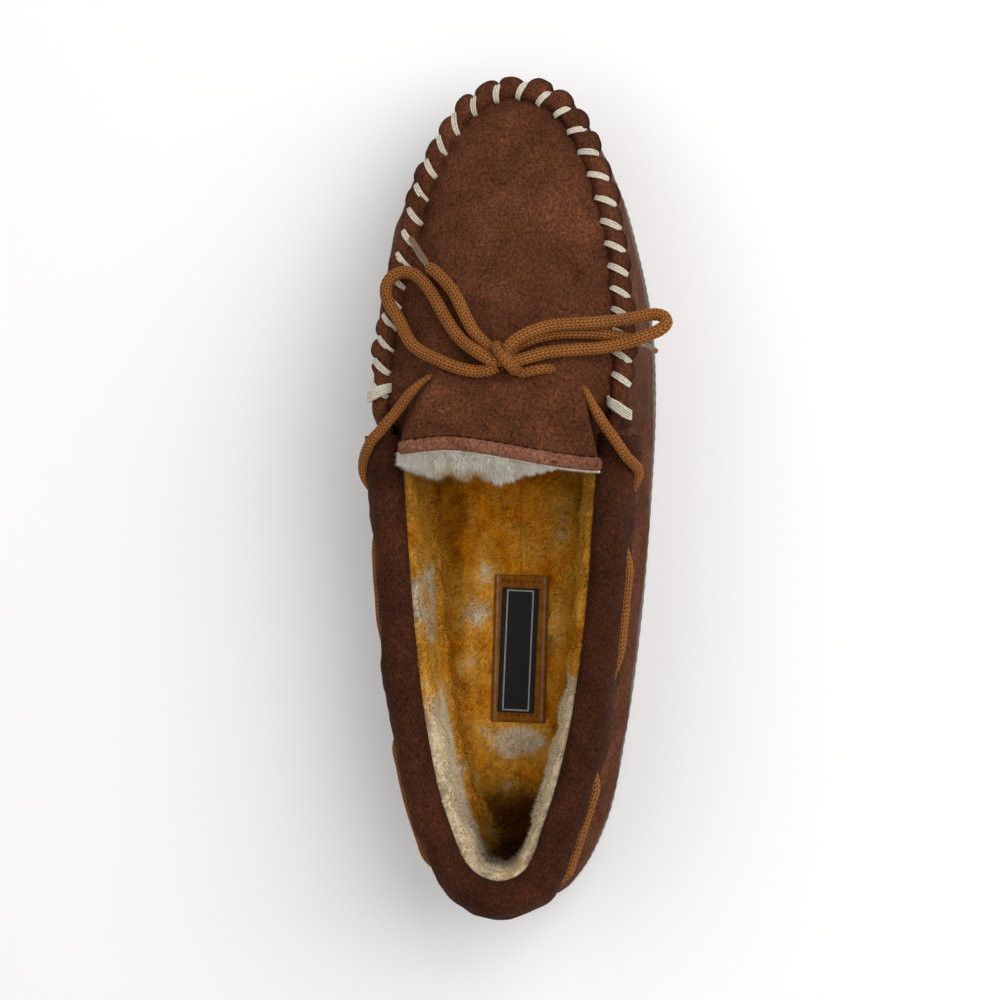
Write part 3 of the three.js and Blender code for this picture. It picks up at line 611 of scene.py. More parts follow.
def braid(route, diameter=LACE, flatten=1.0, round_ends=True, thin=None):
    """Rings and strand marks of a round herringbone braid along a route, with its path and length."""
    path, length = even_points(route, BRAID_STEP)
    sides, ups = carried(path)
    along = np.linspace(0, length, len(path))[:, None]
    angle = np.linspace(0, 2 * np.pi, BRAID_SIDES, endpoint=False)[None]
    column = angle / (2 * np.pi) * BRAID_COLUMNS
    across = column % 1
    lean = np.where(column.astype(int) % 2 == 0, 1.0, -1.0)
    stitch = (along / BRAID_PITCH + lean * (across - 0.5) * 0.95) % 1
    strand = np.sin(np.pi * stitch) ** 0.7 * np.sin(np.pi * np.clip(across, 0.02, 0.98)) ** 0.4
    radius = diameter / 2 * (0.9 + 0.13 * strand)
    if thin:
        radius = radius * thin(path)[:, None]
    if round_ends:
        to_end = np.minimum(along, length - along) / (diameter / 2)
        radius = radius * np.sqrt(np.clip(1 - (1 - np.clip(to_end, 0, 1)) ** 2, 0.02, 1))
    rings = (path[:, None] + (radius * np.cos(angle))[..., None] * sides[:, None]
             + (radius * flatten * np.sin(angle))[..., None] * ups[:, None])
    return rings, strand, path, length


def stretch(braided, first=0, last=None):
    """Points, faces and marks of some of a braid's rings, closed by flat ends."""
    rings, strand = braided[0][first:last], braided[1][first:last]
    count = rings.shape[1]
    points = np.concatenate([rings.reshape(-1, 3), rings[0], rings[-1]])
    marks = np.concatenate([strand.ravel(), strand[0], strand[-1]])
    faces = [list(f) for f in grid_faces(len(rings), count, wrap_columns=True)]
    start = len(rings) * count
    faces += [list(range(start, start + count)), list(range(start + 2 * count - 1, start + count - 1, -1))]
    return points, faces, marks


def braided_piece(name, node, parts, looks):
    points, faces = joined([part[:2] for part in parts])
    marks = {"strand": np.concatenate([part[2] for part in parts])}
    return piece(name, points, faces, looks["lace_braid"], covers=[node], marks=marks)


def aglet(name, node, route, looks):
    """A thin clear sleeve, crimped near the lace, with a stub of lace at its tip."""
    path, _ = even_points(route, 0.3 * MM)
    angle = np.linspace(0, 2 * np.pi, 28, endpoint=False)
    last = len(path) - 1

    def ring(i):
        share = i / last
        radius = 1.3 - 0.22 * math.exp(-((share - 0.12) / 0.06) ** 2) - 0.12 * share
        if i in (0, last):
            radius -= 0.3
        wave = 1 + 0.03 * np.sin(3 * angle + 9 * share)
        return np.stack([radius * wave * np.cos(angle), 0.9 * radius * wave * np.sin(angle)], 1) * MM

    points, faces = swept(path, ring)
    sleeve = piece(name, points, faces, looks["aglet_plastic"], covers=[node])
    way = unit(path[-1] - path[-4])
    stub = [path[-1] + way * reach * MM for reach in (-0.4, 0.5, 1.3)]
    tip = stretch(braid(stub, 1.9 * MM))
    piece(name + "_tip", tip[0], tip[1], looks["lace_braid"], marks={"strand": tip[2]})
    return sleeve


# The turns of lace that hold the bow: route and diameter.
KNOT_STRANDS = [
    ([(0.0030, 0.0490, 0.0765), (0.0028, 0.0487, 0.0806), (0.0038, 0.0469, 0.0837), (0.0055, 0.0448, 0.0846),
      (0.0073, 0.0424, 0.0838), (0.0084, 0.0408, 0.0808), (0.0086, 0.0405, 0.0765)], 3.5 * MM),
    ([(0.0052, 0.0484, 0.0790), (0.0059, 0.0468, 0.0821), (0.0073, 0.0447, 0.0833), (0.0089, 0.0425, 0.0825),
      (0.0099, 0.0412, 0.0800), (0.0101, 0.0408, 0.0770)], 2.6 * MM),
]


def lace_scale(path):
    """The pulled lace is thinner than the bow's and thinnest where it comes through the leather."""
    away = np.min([np.linalg.norm(path - hole, axis=1) for hole in LACE_HOLES], axis=0)
    return mix(0.46, 0.86, smooth(0, 0.011, away))


def nearest(path, point):
    return int(np.linalg.norm(path - np.array(point), axis=1).argmin())


def bow_limb(key, route):
    """A limb's own stretch, its path and its length, and the stretches that it has in the knot."""
    before, after = INTO_KNOT[key]
    whole = braid([*before, *route, *after], round_ends=False)
    first, last = nearest(whole[2], route[0]), nearest(whole[2], route[-1])
    hidden = [stretch(whole, 0, first + 1)]
    if after:
        hidden.append(stretch(whole, last))
    path = whole[2][first:last + 1]
    length = np.linalg.norm(np.diff(path, axis=0), axis=1).sum()
    return stretch(whole, first, last + 1), path, float(length), hidden


def make_laces(looks):
    held = stretch(braid(lace_route(), thin=lace_scale))
    braided_piece("lace_through_collar", "lace_run", [held], looks)
    in_knot = [stretch(braid(route, diameter, 0.9)) for route, diameter in KNOT_STRANDS]
    for side, loop, end, tip in (("left", LOOP_LEFT, END_LEFT, AGLET_LEFT),
                                 ("right", LOOP_RIGHT, END_RIGHT, AGLET_RIGHT)):
        limb, path, length, hidden = bow_limb(f"loop_{side}", loop)
        in_knot += hidden
        lace = braided_piece(f"bow_loop_{side}", f"lace_loop_{side}", [limb], looks)
        sleeve = aglet(f"lace_tip_{side}", f"aglet_{side}", tip, looks)
        limb, path, length, hidden = bow_limb(f"end_{side}", end)
        in_knot += hidden
        lace = braided_piece(f"free_end_{side}", f"lace_end_{side}", [limb], looks)
    braided_piece("tied_knot", "lace_knot", in_knot, looks)


# ---------------------------------------------------------------- wall of the upper
def lobe(stations, n):
    """Height of the gathered leather between two whip stitches: 0 at a stitch, 1 between."""
    across = np.clip((n + 3) / 8.5, 0, 1)
    lean = outer_place(stations) - slant(stations) * (1 - across)
    phase = seam_index(stations) - lean
    part = phase % 1
    draw = np.random.default_rng(11).uniform(0.72, 1.2, STITCHES + 4)
    size = draw[np.clip(np.floor(phase).astype(int) + 1, 0, STITCHES + 3)]
    index = seam_index(stations)
    inside = smooth(-0.7, 0.0, index) * (1 - smooth(STITCHES, STITCHES + 0.7, index))
    return np.clip(1 - np.abs(2 * part - 1) ** 2.3, 0, 1) ** 0.6 * size * inside


def wall_rows(rail):
    """Rows of (n, z) round the wall's section: up its outer face, over the rim and down inside."""
    s = rail.stations
    n, h = rail.sole_out, rail.height
    belly = n + 1.4 - 0.8 * smooth(12.4, 13.2, s) * (1 - smooth(15.8, 16.8, s))
    waist = np.maximum(belly - 2.2, 3.9)
    foot = OUTSOLE_TOP + 0.3
    reach = 1 - 0.2 * smooth(10.2, 9.0, s) - 0.35 * smooth(12.3, 13.4, s)
    out, peak = lobe(s, 5.0) * reach, lobe(s, 1.5)
    low = lobe(s, 5.5) * reach
    shoulder = (mix(belly, 4.2, 0.7), mix(BELLY_Z, h - 6, 0.7))
    rear = [
        (n - 11, foot), (n - 1.2, foot), (belly, BELLY_Z), (waist, 30), (1.6, h - 22.5), (0.4, h - 18),
        (-0.7, h - 15), (-1.3, h - 13), (-1.4, h - 10), (-1.45, h - 7), (-1.5, h - 4.5), (-1.6, h - 2.8),
        (-2.5, h - 2.2), (-3.4, h - 2.8), (-3.5, h - 6), (-3.4, h - 13.6), (-0.6, h - 23.2),
        (waist - 2.1, 30), (belly - 2.1, BELLY_Z), (n - 3, foot + 1.8), (n - 11, foot + 1.6),
    ]
    front = [
        (n - 11, foot), (n - 1.2, foot), (belly, BELLY_Z), (shoulder[0] + 0.3 * low, shoulder[1]),
        (3.2 + 0.9 * low, h - 8.8), (2.9 + 1.6 * low, h - 6.0), (2.9 + 3.3 * out, h - 4.2 + 0.2 * out),
        (2.7 + 3.3 * out, h - 2.7 + 0.3 * out), (2.4 + 3.0 * out, h - 1.3 + 0.6 * out),
        (1.7 + 1.7 * out, h - 0.4 + 1.3 * out), (0.6 + 0.4 * peak, h + 1.6 * peak),
        (-0.9, h - 0.2 + 1.2 * peak), (-2.2, h - 1.3 + 0.3 * peak), (-2.6, h - 2.5),
        (-1.3, h - 4.0), (0.8, h - 6.6),
        (mix(0.8, shoulder[0] - 2.1, 0.5), mix(h - 6.6, shoulder[1] - 0.5, 0.5)),
        (shoulder[0] - 2.1, shoulder[1] - 0.5), (belly - 2.1, BELLY_Z), (n - 3, foot + 1.8),
        (n - 11, foot + 1.6),
    ]
    share = front_share(s)
    rows = [(mix(a, c, share), mix(b, d, share)) for (a, b), (c, d) in zip(rear, front)]
    flat = np.zeros(len(s))
    return np.array([(x + flat, z + flat) for x, z in rows])


def resampled(rows, per_row):
    """Smooth section through the rows, the same share of the way for every station."""
    count, _, stations = rows.shape
    t = np.linspace(0, count - 1, (count - 1) * per_row + 1)
    curve = catmull(rows.reshape(count, -1), t).reshape(len(t), 2, stations)
    return curve[:, 0].T, curve[:, 1].T


def make_wall(looks):
    around = np.concatenate([np.linspace(start, end, count, endpoint=False)
                             for start, end, count in ((0, 5.6, 150), (5.6, 16.4, 560), (16.4, 22, 150))])
    rail = Rail(around)
    rows = wall_rows(rail)
    n, z = resampled(rows, 4)
    front = front_share(around)[:, None]
    t = np.linspace(0, len(rows) - 1, n.shape[1])[None]
    split = np.exp(-((t - 7.0) / 0.28) ** 2) * front
    n = n - 0.55 * split
    points = rail.place(n, z)
    outer = (t < 12.5).astype(float)
    pleats = lobe(around, 5.5)[:, None] * np.exp(-((t - 4.0) / 1.0) ** 2) * front
    swell = ripple(points, 0.019, 3) * 0.35 + ripple(points, 0.007, 4) * 0.12 + pleats * 0.5
    push = swell * outer * smooth(1.0, 2.0, t) * MM
    points[..., :2] += push[..., None] * rail.out[:, None]
    # Painted shade along the seam: the edge mark darkens the split between wall and apron fully and the rows
    # round it by half.
    edge = np.clip(split * 1.4 + front * smooth(5.4, 6.2, t) * (1 - smooth(7.9, 8.8, t)) * 0.5, 0, 1)
    faces = grid_faces(*points.shape[:2], wrap_rows=True, wrap_columns=True)
    piece("gathered_wall", points, faces, looks["suede"], covers=["vamp_wall"],
          marks={"edge": edge + np.zeros(n.shape)})


# ---------------------------------------------------------------- apron and tongue
CREASE = 0.2                  # share from the seam to the middle line where the tongue's edge lies
FLAP_THICKNESS = 1.7 * MM
TONGUE_LEFT = -0.0318
TONGUE_RIGHT = 0.0357
TONGUE_EDGE_Z = 0.0695
TONGUE_CROWN_Z = 0.0790


def tongue_end(x):
    """The flap's rear edge: it runs back further on the outer side."""
    share = (x - TONGUE_LEFT) / (TONGUE_RIGHT - TONGUE_LEFT)
    bow = 0.0016 * np.clip(1 - share / 0.28, 0, 1) ** 1.6 + 0.0072 * smooth(0.2, 1.05, share)
    return 0.0158 - bow


def tongue_top(v):
    """Point on the rear edge at v from -1 at the left corner to 1 at the right one."""
    x = mix(TONGUE_LEFT, TONGUE_RIGHT, (v + 1) / 2)
    z = mix(TONGUE_EDGE_Z, TONGUE_CROWN_Z, 1 - np.abs(v) ** 2.3)
    z = z + 0.0006 * np.sin(v * 5.1 + 0.6)
    return np.stack([x, tongue_end(x), z], -1)


def apron_half(station_end, columns, rows, inset=1.7, drop=1.3):
    stations = np.linspace(station_end, TOE_STATION, rows)
    rail = Rail(stations)
    edge = rail.place(np.full((rows, 1), -inset), (rail.height - drop)[:, None])
    share = 1 - np.abs(stations - TOE_STATION) / 5
    fine = catmull(SPINE, np.linspace(0, len(SPINE) - 1, 400))
    along = np.concatenate([[0], np.cumsum(np.linalg.norm(np.diff(fine, axis=0), axis=1))])
    at = np.sin(share * np.pi / 2) * along[-1]
    middle = np.stack([np.interp(at, along, fine[:, k]) for k in range(3)], 1)[:, None]
    v = np.linspace(0, 1, columns)[None, :, None]
    points = mix(edge, middle, v)
    full = 2.6 + 1.3 * smooth(0.052, 0.031, points[..., 1])
    points[..., 2] = mix(edge[..., 2], middle[..., 2], 1 - (1 - v[..., 0]) ** full)
    return points


def apron_sheet(columns=44, rows=150, tongue_rows=26):
    """Rows from the tongue's end to the toe, columns from the left seam to the right one."""
    left = apron_half(APRON_STATIONS[0], columns, rows)
    right = apron_half(APRON_STATIONS[1], columns, rows)
    front = np.concatenate([left, right[:, -2::-1]], axis=1)
    width = front.shape[1]
    first = int(round(CREASE * (columns - 1)))
    v = np.linspace(-1, 1, width - 2 * first)
    start = front[0, first:width - first]
    end = tongue_top(v)
    share = np.linspace(1, 0, tongue_rows, endpoint=False)[:, None, None]
    flap = mix(start, end, share)
    flap[..., 2] = mix(start[:, 2], end[:, 2], smooth(0, 1, share[..., 0]))
    tongue = np.full((tongue_rows, width, 3), np.nan)
    tongue[:, first:width - first] = flap
    return np.concatenate([tongue, front]), first, tongue_rows


def shaped_apron(points):
    """Dimples at the stitches, creases from the lace holes to the tongue's corners, and soft waves."""
    flat = np.nan_to_num(points)
    x, y = flat[..., 0], flat[..., 1]
    lift = ripple(flat, 0.03, 21) * 0.0006 + ripple(flat, 0.011, 22) * 0.00022
    for station in STITCH_STATIONS[:-1]:
        hole = point_at(station, -3.4, 0)
        lift -= 0.0011 * np.exp(-((x - hole[0]) ** 2 + (y - hole[1]) ** 2) / 0.0022 ** 2)
    for hole_x, hole_y, corner_x in ((-0.0178, 0.0392, TONGUE_LEFT), (0.0305, 0.0372, TONGUE_RIGHT)):
        share = np.clip((hole_y - y) / (hole_y - 0.0155), -0.4, 1)
        line = mix(hole_x, corner_x, np.clip(share, 0, 1) ** 0.8)
        fade = smooth(-0.35, 0.15, share) * (1 - 0.5 * smooth(0.6, 1.0, share))
        away = (x - line) * np.sign(corner_x)
        lift += fade * (0.0011 * np.exp(-((away + 0.0012) / 0.0022) ** 2)
                        - 0.0042 * smooth(0.0002, 0.0042, away) * (1 - smooth(0.008, 0.02, away)))
    return lift


def make_apron(looks):
    points, first, tongue_rows = apron_sheet()
    rows, width = points.shape[:2]
    faces = grid_faces(rows, width)
    column = faces[:, 0] % width
    row = faces[:, 0] // width
    keep = (row >= tongue_rows) | ((column >= first) & (column < width - first - 1))
    points[..., 2] += shaped_apron(points)
    used = np.unique(faces[keep])
    renumber = -np.ones(rows * width, int)
    renumber[used] = np.arange(len(used))
    flat = points.reshape(-1, 3)[used]
    apron = piece("apron_and_tongue", flat, renumber[faces[keep]], looks["suede"], body=None,
                  weld=1e-5, thick=FLAP_THICKNESS, marks={"edge": np.zeros(len(flat))})
    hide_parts("apron", "tongue_flap")
    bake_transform(apron)


def make_wings(looks):
    """The apron's leather runs on at each side, down under the tongue's edges."""
    parts = []
    for stations, side in ((np.linspace(6.05, 5.3, 40), -1), (np.linspace(15.95, 16.7, 40), 1)):
        rail = Rail(stations)
        back = smooth(6.05, 5.75, stations) if side < 0 else smooth(15.95, 16.25, stations)
        heights = (rail.height - mix(2.0, 6.0, back))[:, None]
        outer = rail.place(mix(-2.2, -5.4, back)[:, None], heights)[:, 0]
        inner = outer.copy()
        inner[:, 0] = 0.0022 + side * mix(0.0272, 0.0290, back)
        inner[:, 2] = mix(0.0655, 0.0598, smooth(0, 0.6, back))
        share = np.linspace(0, 1, 14)[None, :, None]
        sheet = mix(outer[:, None], inner[:, None], share)
        sheet[..., 2] += 0.0012 * np.sin(np.pi * share[..., 0]) + ripple(sheet, 0.008, 33) * 0.0003
        parts.append((sheet, grid_faces(40, 14)))
    points, faces = joined(parts)
    # Painted shade: the wings lie under the tongue, so their colour goes 35% of the way toward near black.
    piece("apron_wings", points, faces, looks["suede"], thick=1.2 * MM,
          marks={"edge": np.full(len(points), 0.35)})


def along_tongue(count, reach=1.0):
    v = np.linspace(-reach, reach, count)
    top = tongue_top(v)
    way = unit(np.gradient(top, axis=0))
    back = np.stack([way[:, 1], -way[:, 0], np.zeros(count)], 1)
    return v, top, unit(back)


def make_binding(looks):
    """The folded tape over the tongue's rear edge, in millimetres behind it and above the flap."""
    section = [
        (-3.3, 0.15), (-3.2, 0.75), (-2.2, 1.05), (-0.8, 1.1), (0.4, 0.85), (1.1, 0.1), (1.2, -0.9),
        (0.8, -1.9), (-0.3, -2.5), (-1.8, -2.6), (-3.0, -2.4), (-3.1, -2.0), (-1.6, -1.95), (-1.5, -0.2),
    ]
    v, top, back = along_tongue(160, 1.015)
    t = np.linspace(0, len(section), 56, endpoint=False)
    ring = catmull(section, t, closed=True) * MM
    rings = top[:, None] + ring[None, :, :1] * back[:, None]
    rings[..., 2] += ring[None, :, 1]
    pinch = 1 - 0.35 * smooth(0.985, 1.015, np.abs(v))
    centre = rings.mean(axis=1, keepdims=True)
    rings = centre + (rings - centre) * pinch[:, None, None]
    rings[..., 2] += ripple(rings, 0.009, 31) * 0.00025
    count = rings.shape[1]
    faces = [list(f) for f in grid_faces(len(rings), count, wrap_columns=True)]
    faces += end_caps(len(rings), count)
    piece("tongue_edge_binding", rings, faces, looks["binding"], body="tongue",
          covers=["tongue_binding"])
    stitches("tongue_stitching", top - back * 3.5 * MM + (0, 0, 0.0006), looks, body="tongue")


def stitches(name, line, looks, body="slipper", length=2.2 * MM, gap=1.0 * MM, size=0.32 * MM):
    """A row of small dark machine stitches along a line."""
    step = 0.25 * MM
    path, _ = even_points(line, step)
    per = int(round(length / step))
    skip = int(round(gap / step))
    angle = np.linspace(0, 2 * np.pi, 6, endpoint=False)
    parts = []
    for start in range(0, len(path) - per, per + skip):
        stitch = path[start:start + per + 1]
        last = len(stitch) - 1

        def ring(i):
            radius = size * (0.55 + 0.45 * math.sin(math.pi * i / last))
            return np.stack([np.cos(angle), np.sin(angle)], 1) * radius

        parts.append(swept(stitch, ring))
    points, faces = joined(parts)
    return piece(name, points, faces, looks["dark_thread"], body=body)


# ---------------------------------------------------------------- collar
COLLAR_SEAM = 20.6             # the depth of the collar's lower seam below its top
COLLAR_SECTION = [
    (4.2, -23.0), (5.6, -17.5), (6.0, -10.0), (5.2, -4.2), (2.8, -0.8), (-1.0, 0.2), (-4.4, -0.7),
    (-6.3, -3.4), (-6.3, -5.6), (-5.0, -5.6), (-4.8, -3.8), (-3.6, -2.2), (-0.9, -1.7), (1.8, -2.4),
    (3.4, -4.9), (4.0, -10.0), (3.7, -17.2), (2.3, -22.8),
]


def make_collar(looks):
    stations = np.linspace(-COLLAR_END, COLLAR_END, 520)
    rail = Rail(stations)
    t = np.linspace(0, len(COLLAR_SECTION), 108, endpoint=False)
    section = catmull(COLLAR_SECTION, t, closed=True)
    n = np.repeat(section[None, :, 0], len(stations), axis=0)
    z = np.repeat(section[None, :, 1], len(stations), axis=0)
    window = window_share(stations)[:, None]
    outer = np.clip(1 - np.abs(t - 2.0) / 2.6, 0, 1)[None] ** 0.5
    groove = np.exp(-((z + LACE_DROP) / 2.9) ** 2) * outer
    bulge = np.exp(-((z + LACE_DROP) / 4.5) ** 2) * outer * (1 - window)
    n = n - 2.5 * groove * window + 0.7 * bulge
    seam = np.exp(-((z + COLLAR_SEAM) / 0.7) ** 2) * outer
    n = n - 0.35 * seam
    points = rail.place(n, rail.height[:, None] + z)
    swell = ripple(points, 0.024, 41) * 0.0004 + ripple(points, 0.008, 42) * 0.00016
    top = smooth(7.5, 6.0, t)[None]
    points[..., :2] += (swell * top)[..., None] * rail.out[:, None]
    points[..., 2] += swell * top * 0.7
    count = points.shape[1]
    faces = [list(f) for f in grid_faces(*points.shape[:2], wrap_columns=True)]
    faces += end_caps(len(stations), count)
    piece("collar_roll", points, faces, looks["collar_suede"], covers=["collar"])
    below = Rail(np.linspace(-5.5, 5.5, 160))
    line = below.place(np.full((160, 1), 5.05), below.height[:, None] - COLLAR_SEAM)[:, 0]
    stitches("collar_stitching", line, looks)


# ---------------------------------------------------------------- seam thread
# The ways of a whip stitch and of a bar stitch over the seam: n, z above the rim and share of the lean.
WHIP_WAY = [(-1.8, -3.6, 0.0), (-2.5, -1.9, 0.0), (-2.3, -0.1, 0.04), (-1.1, 1.0, 0.18), (0.5, 1.3, 0.42),
            (2.1, 0.7, 0.70), (3.1, -0.7, 0.92), (3.3, -2.6, 1.0), (2.4, -4.4, 1.0)]
STRANDS = (-0.56, 0.0, 0.56)
BAR_WAY = [(-3.4, -2.2, 0), (-3.6, 0.0, 0.05), (-2.3, 1.7, 0.2), (0.2, 2.1, 0.5), (2.4, 1.3, 0.8),
           (3.8, -0.5, 0.95), (4.1, -2.8, 1.0), (3.2, -4.8, 1.0)]


def strand(route, side, across, radius, turn=0.0):
    """One ply of a stitch, shifted sideways and turned, with a slightly flat section."""
    path, _ = even_points(route, 0.45 * MM)
    share = np.linspace(0, 1, len(path))[:, None]
    spread = across * MM * (1 - 0.25 * np.cos(2 * np.pi * share)) + turn * MM * (share - 0.5)
    path = path + side * spread
    angle = np.linspace(0, 2 * np.pi, 10, endpoint=False)

    def ring(_):
        return np.stack([np.cos(angle), 0.8 * np.sin(angle)], 1) * radius * MM

    return swept(path, ring)


def make_whip_stitches(looks):
    draw = np.random.default_rng(5)
    parts = []
    pitches = np.append(np.diff(STITCH_STATIONS), STITCH_STATIONS[-1] - STITCH_STATIONS[-2])
    starts = np.append(STITCH_STATIONS[0] - pitches[0], STITCH_STATIONS)
    for start, pitch in zip(starts, np.append(pitches[0], pitches)):
        ahead, lean = float(outer_place(start)), float(slant(start))
        route = np.array([point_at(start + pitch * (ahead - lean * (1 - share)), n, z)
                          for n, z, share in WHIP_WAY])
        side = np.append(Rail([start]).along[0], 0)
        way = unit(route[-3] - route[2])
        side = unit(side - way * (side @ way))
        twist = draw.uniform(-0.35, 0.35)
        for across in STRANDS:
            jitter = draw.uniform(-0.06, 0.06)
            parts.append(strand(route, side, across + jitter, draw.uniform(0.36, 0.42), twist))
    points, faces = joined(parts)
    piece("whip_stitches", points, faces, looks["thread"], covers=["whip_thread"])


def make_bar(name, node, station, lean, looks):
    """A bar of thread in two layers, which leans along by the given share of a station."""
    draw = np.random.default_rng(17)
    side = np.append(Rail([station]).along[0], 0)
    parts = []
    for layer, strands in ((0, 5), (1, 4)):
        for k in range(strands):
            across = (k - (strands - 1) / 2) * 0.72 + draw.uniform(-0.08, 0.08)
            route = np.array([point_at(station + lean * share, n, z + 0.5 * layer)
                              for n, z, share in BAR_WAY])
            parts.append(strand(route, side, across, 0.42, 1.4 * (layer - 0.5)))
    points, faces = joined(parts)
    piece(name, points, faces, looks["thread"], covers=[node])


# ---------------------------------------------------------------- fleece
# Cream patches on the footbed: middle, half width and half length, and strength.
CREAM_PATCHES = [
    ((-0.0098, -0.0287), (0.0062, 0.0080), 0.85), ((-0.0140, -0.0420), (0.0075, 0.0110), 0.8),
    ((-0.0160, -0.0600), (0.0060, 0.0090), 0.65), ((0.0005, -0.0862), (0.0125, 0.0078), 1.1),
    ((-0.0109, -0.0834), (0.0060, 0.0045), 0.8), ((-0.0039, -0.1004), (0.0090, 0.0060), 0.5),
    ((0.0172, -0.0090), (0.0060, 0.0120), 0.6), ((0.0154, -0.0436), (0.0050, 0.0140), 0.5),
    ((-0.0249, -0.0710), (0.0050, 0.0080), 0.6), ((0.0030, -0.0180), (0.0080, 0.0060), 0.45),
]
# Cream on the lining along the shoe: place along Y, share on the inner side and on the outer side.
CREAM_SIDES = [
    (-0.140, 0.9, 0.5), (-0.124, 1.1, 0.8), (-0.100, 1.1, 1.05), (-0.082, 1.05, 1.05),
    (-0.074, 0.85, 1.0), (-0.062, 0.5, 0.7), (-0.055, 0.45, 0.25), (-0.044, 0.55, 0.25),
    (-0.040, 0.75, 0.25), (-0.028, 0.8, 0.3), (-0.022, 0.25, 0.3), (-0.013, 0.3, 0.35),
    (0.002, 0.4, 0.45), (0.020, 0.35, 0.2),
]


def cream_on_footbed(points):
    share = np.zeros(points.shape[:-1])
    for (x, y), (wide, long), strength in CREAM_PATCHES:
        away = ((points[..., 0] - x) / wide) ** 2 + ((points[..., 1] - y) / long) ** 2
        share = np.maximum(share, strength * np.exp(-away * 0.9))
    return share * 0.6


def cream_on_side(points):
    places, inner, outer = zip(*CREAM_SIDES)
    y = points[..., 1]
    side = smooth(-0.004, 0.006, points[..., 0])
    return mix(np.interp(y, places, inner), np.interp(y, places, outer), side) * 0.66


def tufts(roots, ways, lengths, radius, seed):
    """Thin three-sided spikes of fleece: points, faces and tip marks."""
    draw = np.random.default_rng(seed)
    count = len(roots)
    side = unit(np.cross(ways, draw.normal(size=(count, 3))))
    other = np.cross(ways, side)
    corners = [roots + (side * math.cos(angle) + other * math.sin(angle)) * radius[:, None]
               for angle in (0, 2 * np.pi / 3, 4 * np.pi / 3)]
    points = np.stack([*corners, roots + ways * lengths[:, None]], axis=1)
    base = np.arange(count)[:, None] * 4
    spike = ((0, 1, 3), (1, 2, 3), (2, 0, 3), (2, 1, 0))
    faces = [row for face in spike for row in (base + np.array(face)).tolist()]
    return points.reshape(-1, 3), faces, np.tile([0, 0, 0, 1.0], count)


def pile(name, surface, normals, cream, deep, count, length, lean, looks, seed, bare=None):
    """Scatters tufts evenly over a grid surface, except where bare says that there are none."""
    draw = np.random.default_rng(seed)
    columns = surface.shape[1]
    du = np.linalg.norm(np.diff(surface, axis=0), axis=-1)[:, :-1]
    dv = np.linalg.norm(np.diff(surface, axis=1), axis=-1)[:-1]
    area = (du * dv).ravel()
    cell = draw.choice(len(area), size=count, p=area / area.sum())
    r, c = np.divmod(cell, columns - 1)
    fr, fc = draw.uniform(size=(2, count))

    def at(values):
        across, down = (fc[:, None], fr[:, None]) if values.ndim == 3 else (fc, fr)
        near = mix(values[r, c], values[r, c + 1], across)
        far = mix(values[r + 1, c], values[r + 1, c + 1], across)
        return mix(near, far, down)

    roots, up, share, shade = at(surface), unit(at(normals)), at(cream), at(deep)
    if bare:
        keep = ~bare(roots)
        roots, up, share, shade = roots[keep], up[keep], share[keep], shade[keep]
    count = len(roots)
    clump = np.stack([ripple(roots, 0.008, seed + k) for k in (1, 2, 3)], 1)
    ways = unit(up * 0.9 + np.array(lean) + clump * 0.22 + draw.normal(size=(count, 3)) * 0.3)
    lengths = length * draw.uniform(0.65, 1.1, count) * (1 + 0.2 * ripple(roots, 0.01, seed + 9))
    thickness = draw.uniform(0.10, 0.17, count) * MM
    points, faces, tip = tufts(roots - up * 0.0003, ways, lengths, thickness, seed + 20)
    marks = {"tip": tip, "cream": np.repeat(share, 4), "deep": np.repeat(shade, 4)}
    return piece(name, points, faces, looks["fleece"], marks=marks)


def normals_of(points):
    du = np.gradient(points, axis=0)
    dv = np.gradient(points, axis=1)
    return unit(np.cross(du, dv))


def lining_rows(rail):
    """The lining's inner face, from the collar's inner edge down and round onto the footbed."""
    n, h = rail.sole_out, rail.height
    front = front_share(rail.stations)
    under_tongue = smooth(5.48, 5.7, rail.stations) * (1 - smooth(16.3, 16.52, rail.stations))
    top = mix(h - 5.2, h - 10.4, under_tongue)
    lip = mix(-5.6, 0.2, front)
    low = np.minimum(n - 17.5, -12.5)
    rows = [
        (lip, top), (mix(-8.6, -4.5, front), top - 0.6), (mix(-10.2, -6.0, front), top - 5),
        (mix(-10.6, n - 10.5, mix(0.1, 0.6, front)), mix(top, 22, 0.45)),
        (mix(-11.0, n - 10.8, 0.35), mix(top, 22, 0.75)),
        (mix(-11.6, low, 0.25), 27.5), (mix(-11.6, low, 0.6), 22.6), (low, 20.2), (low - 4, 18.4),
    ]
    flat = np.zeros(len(rail.stations))
    return np.array([(x + flat, z + flat) for x, z in rows])


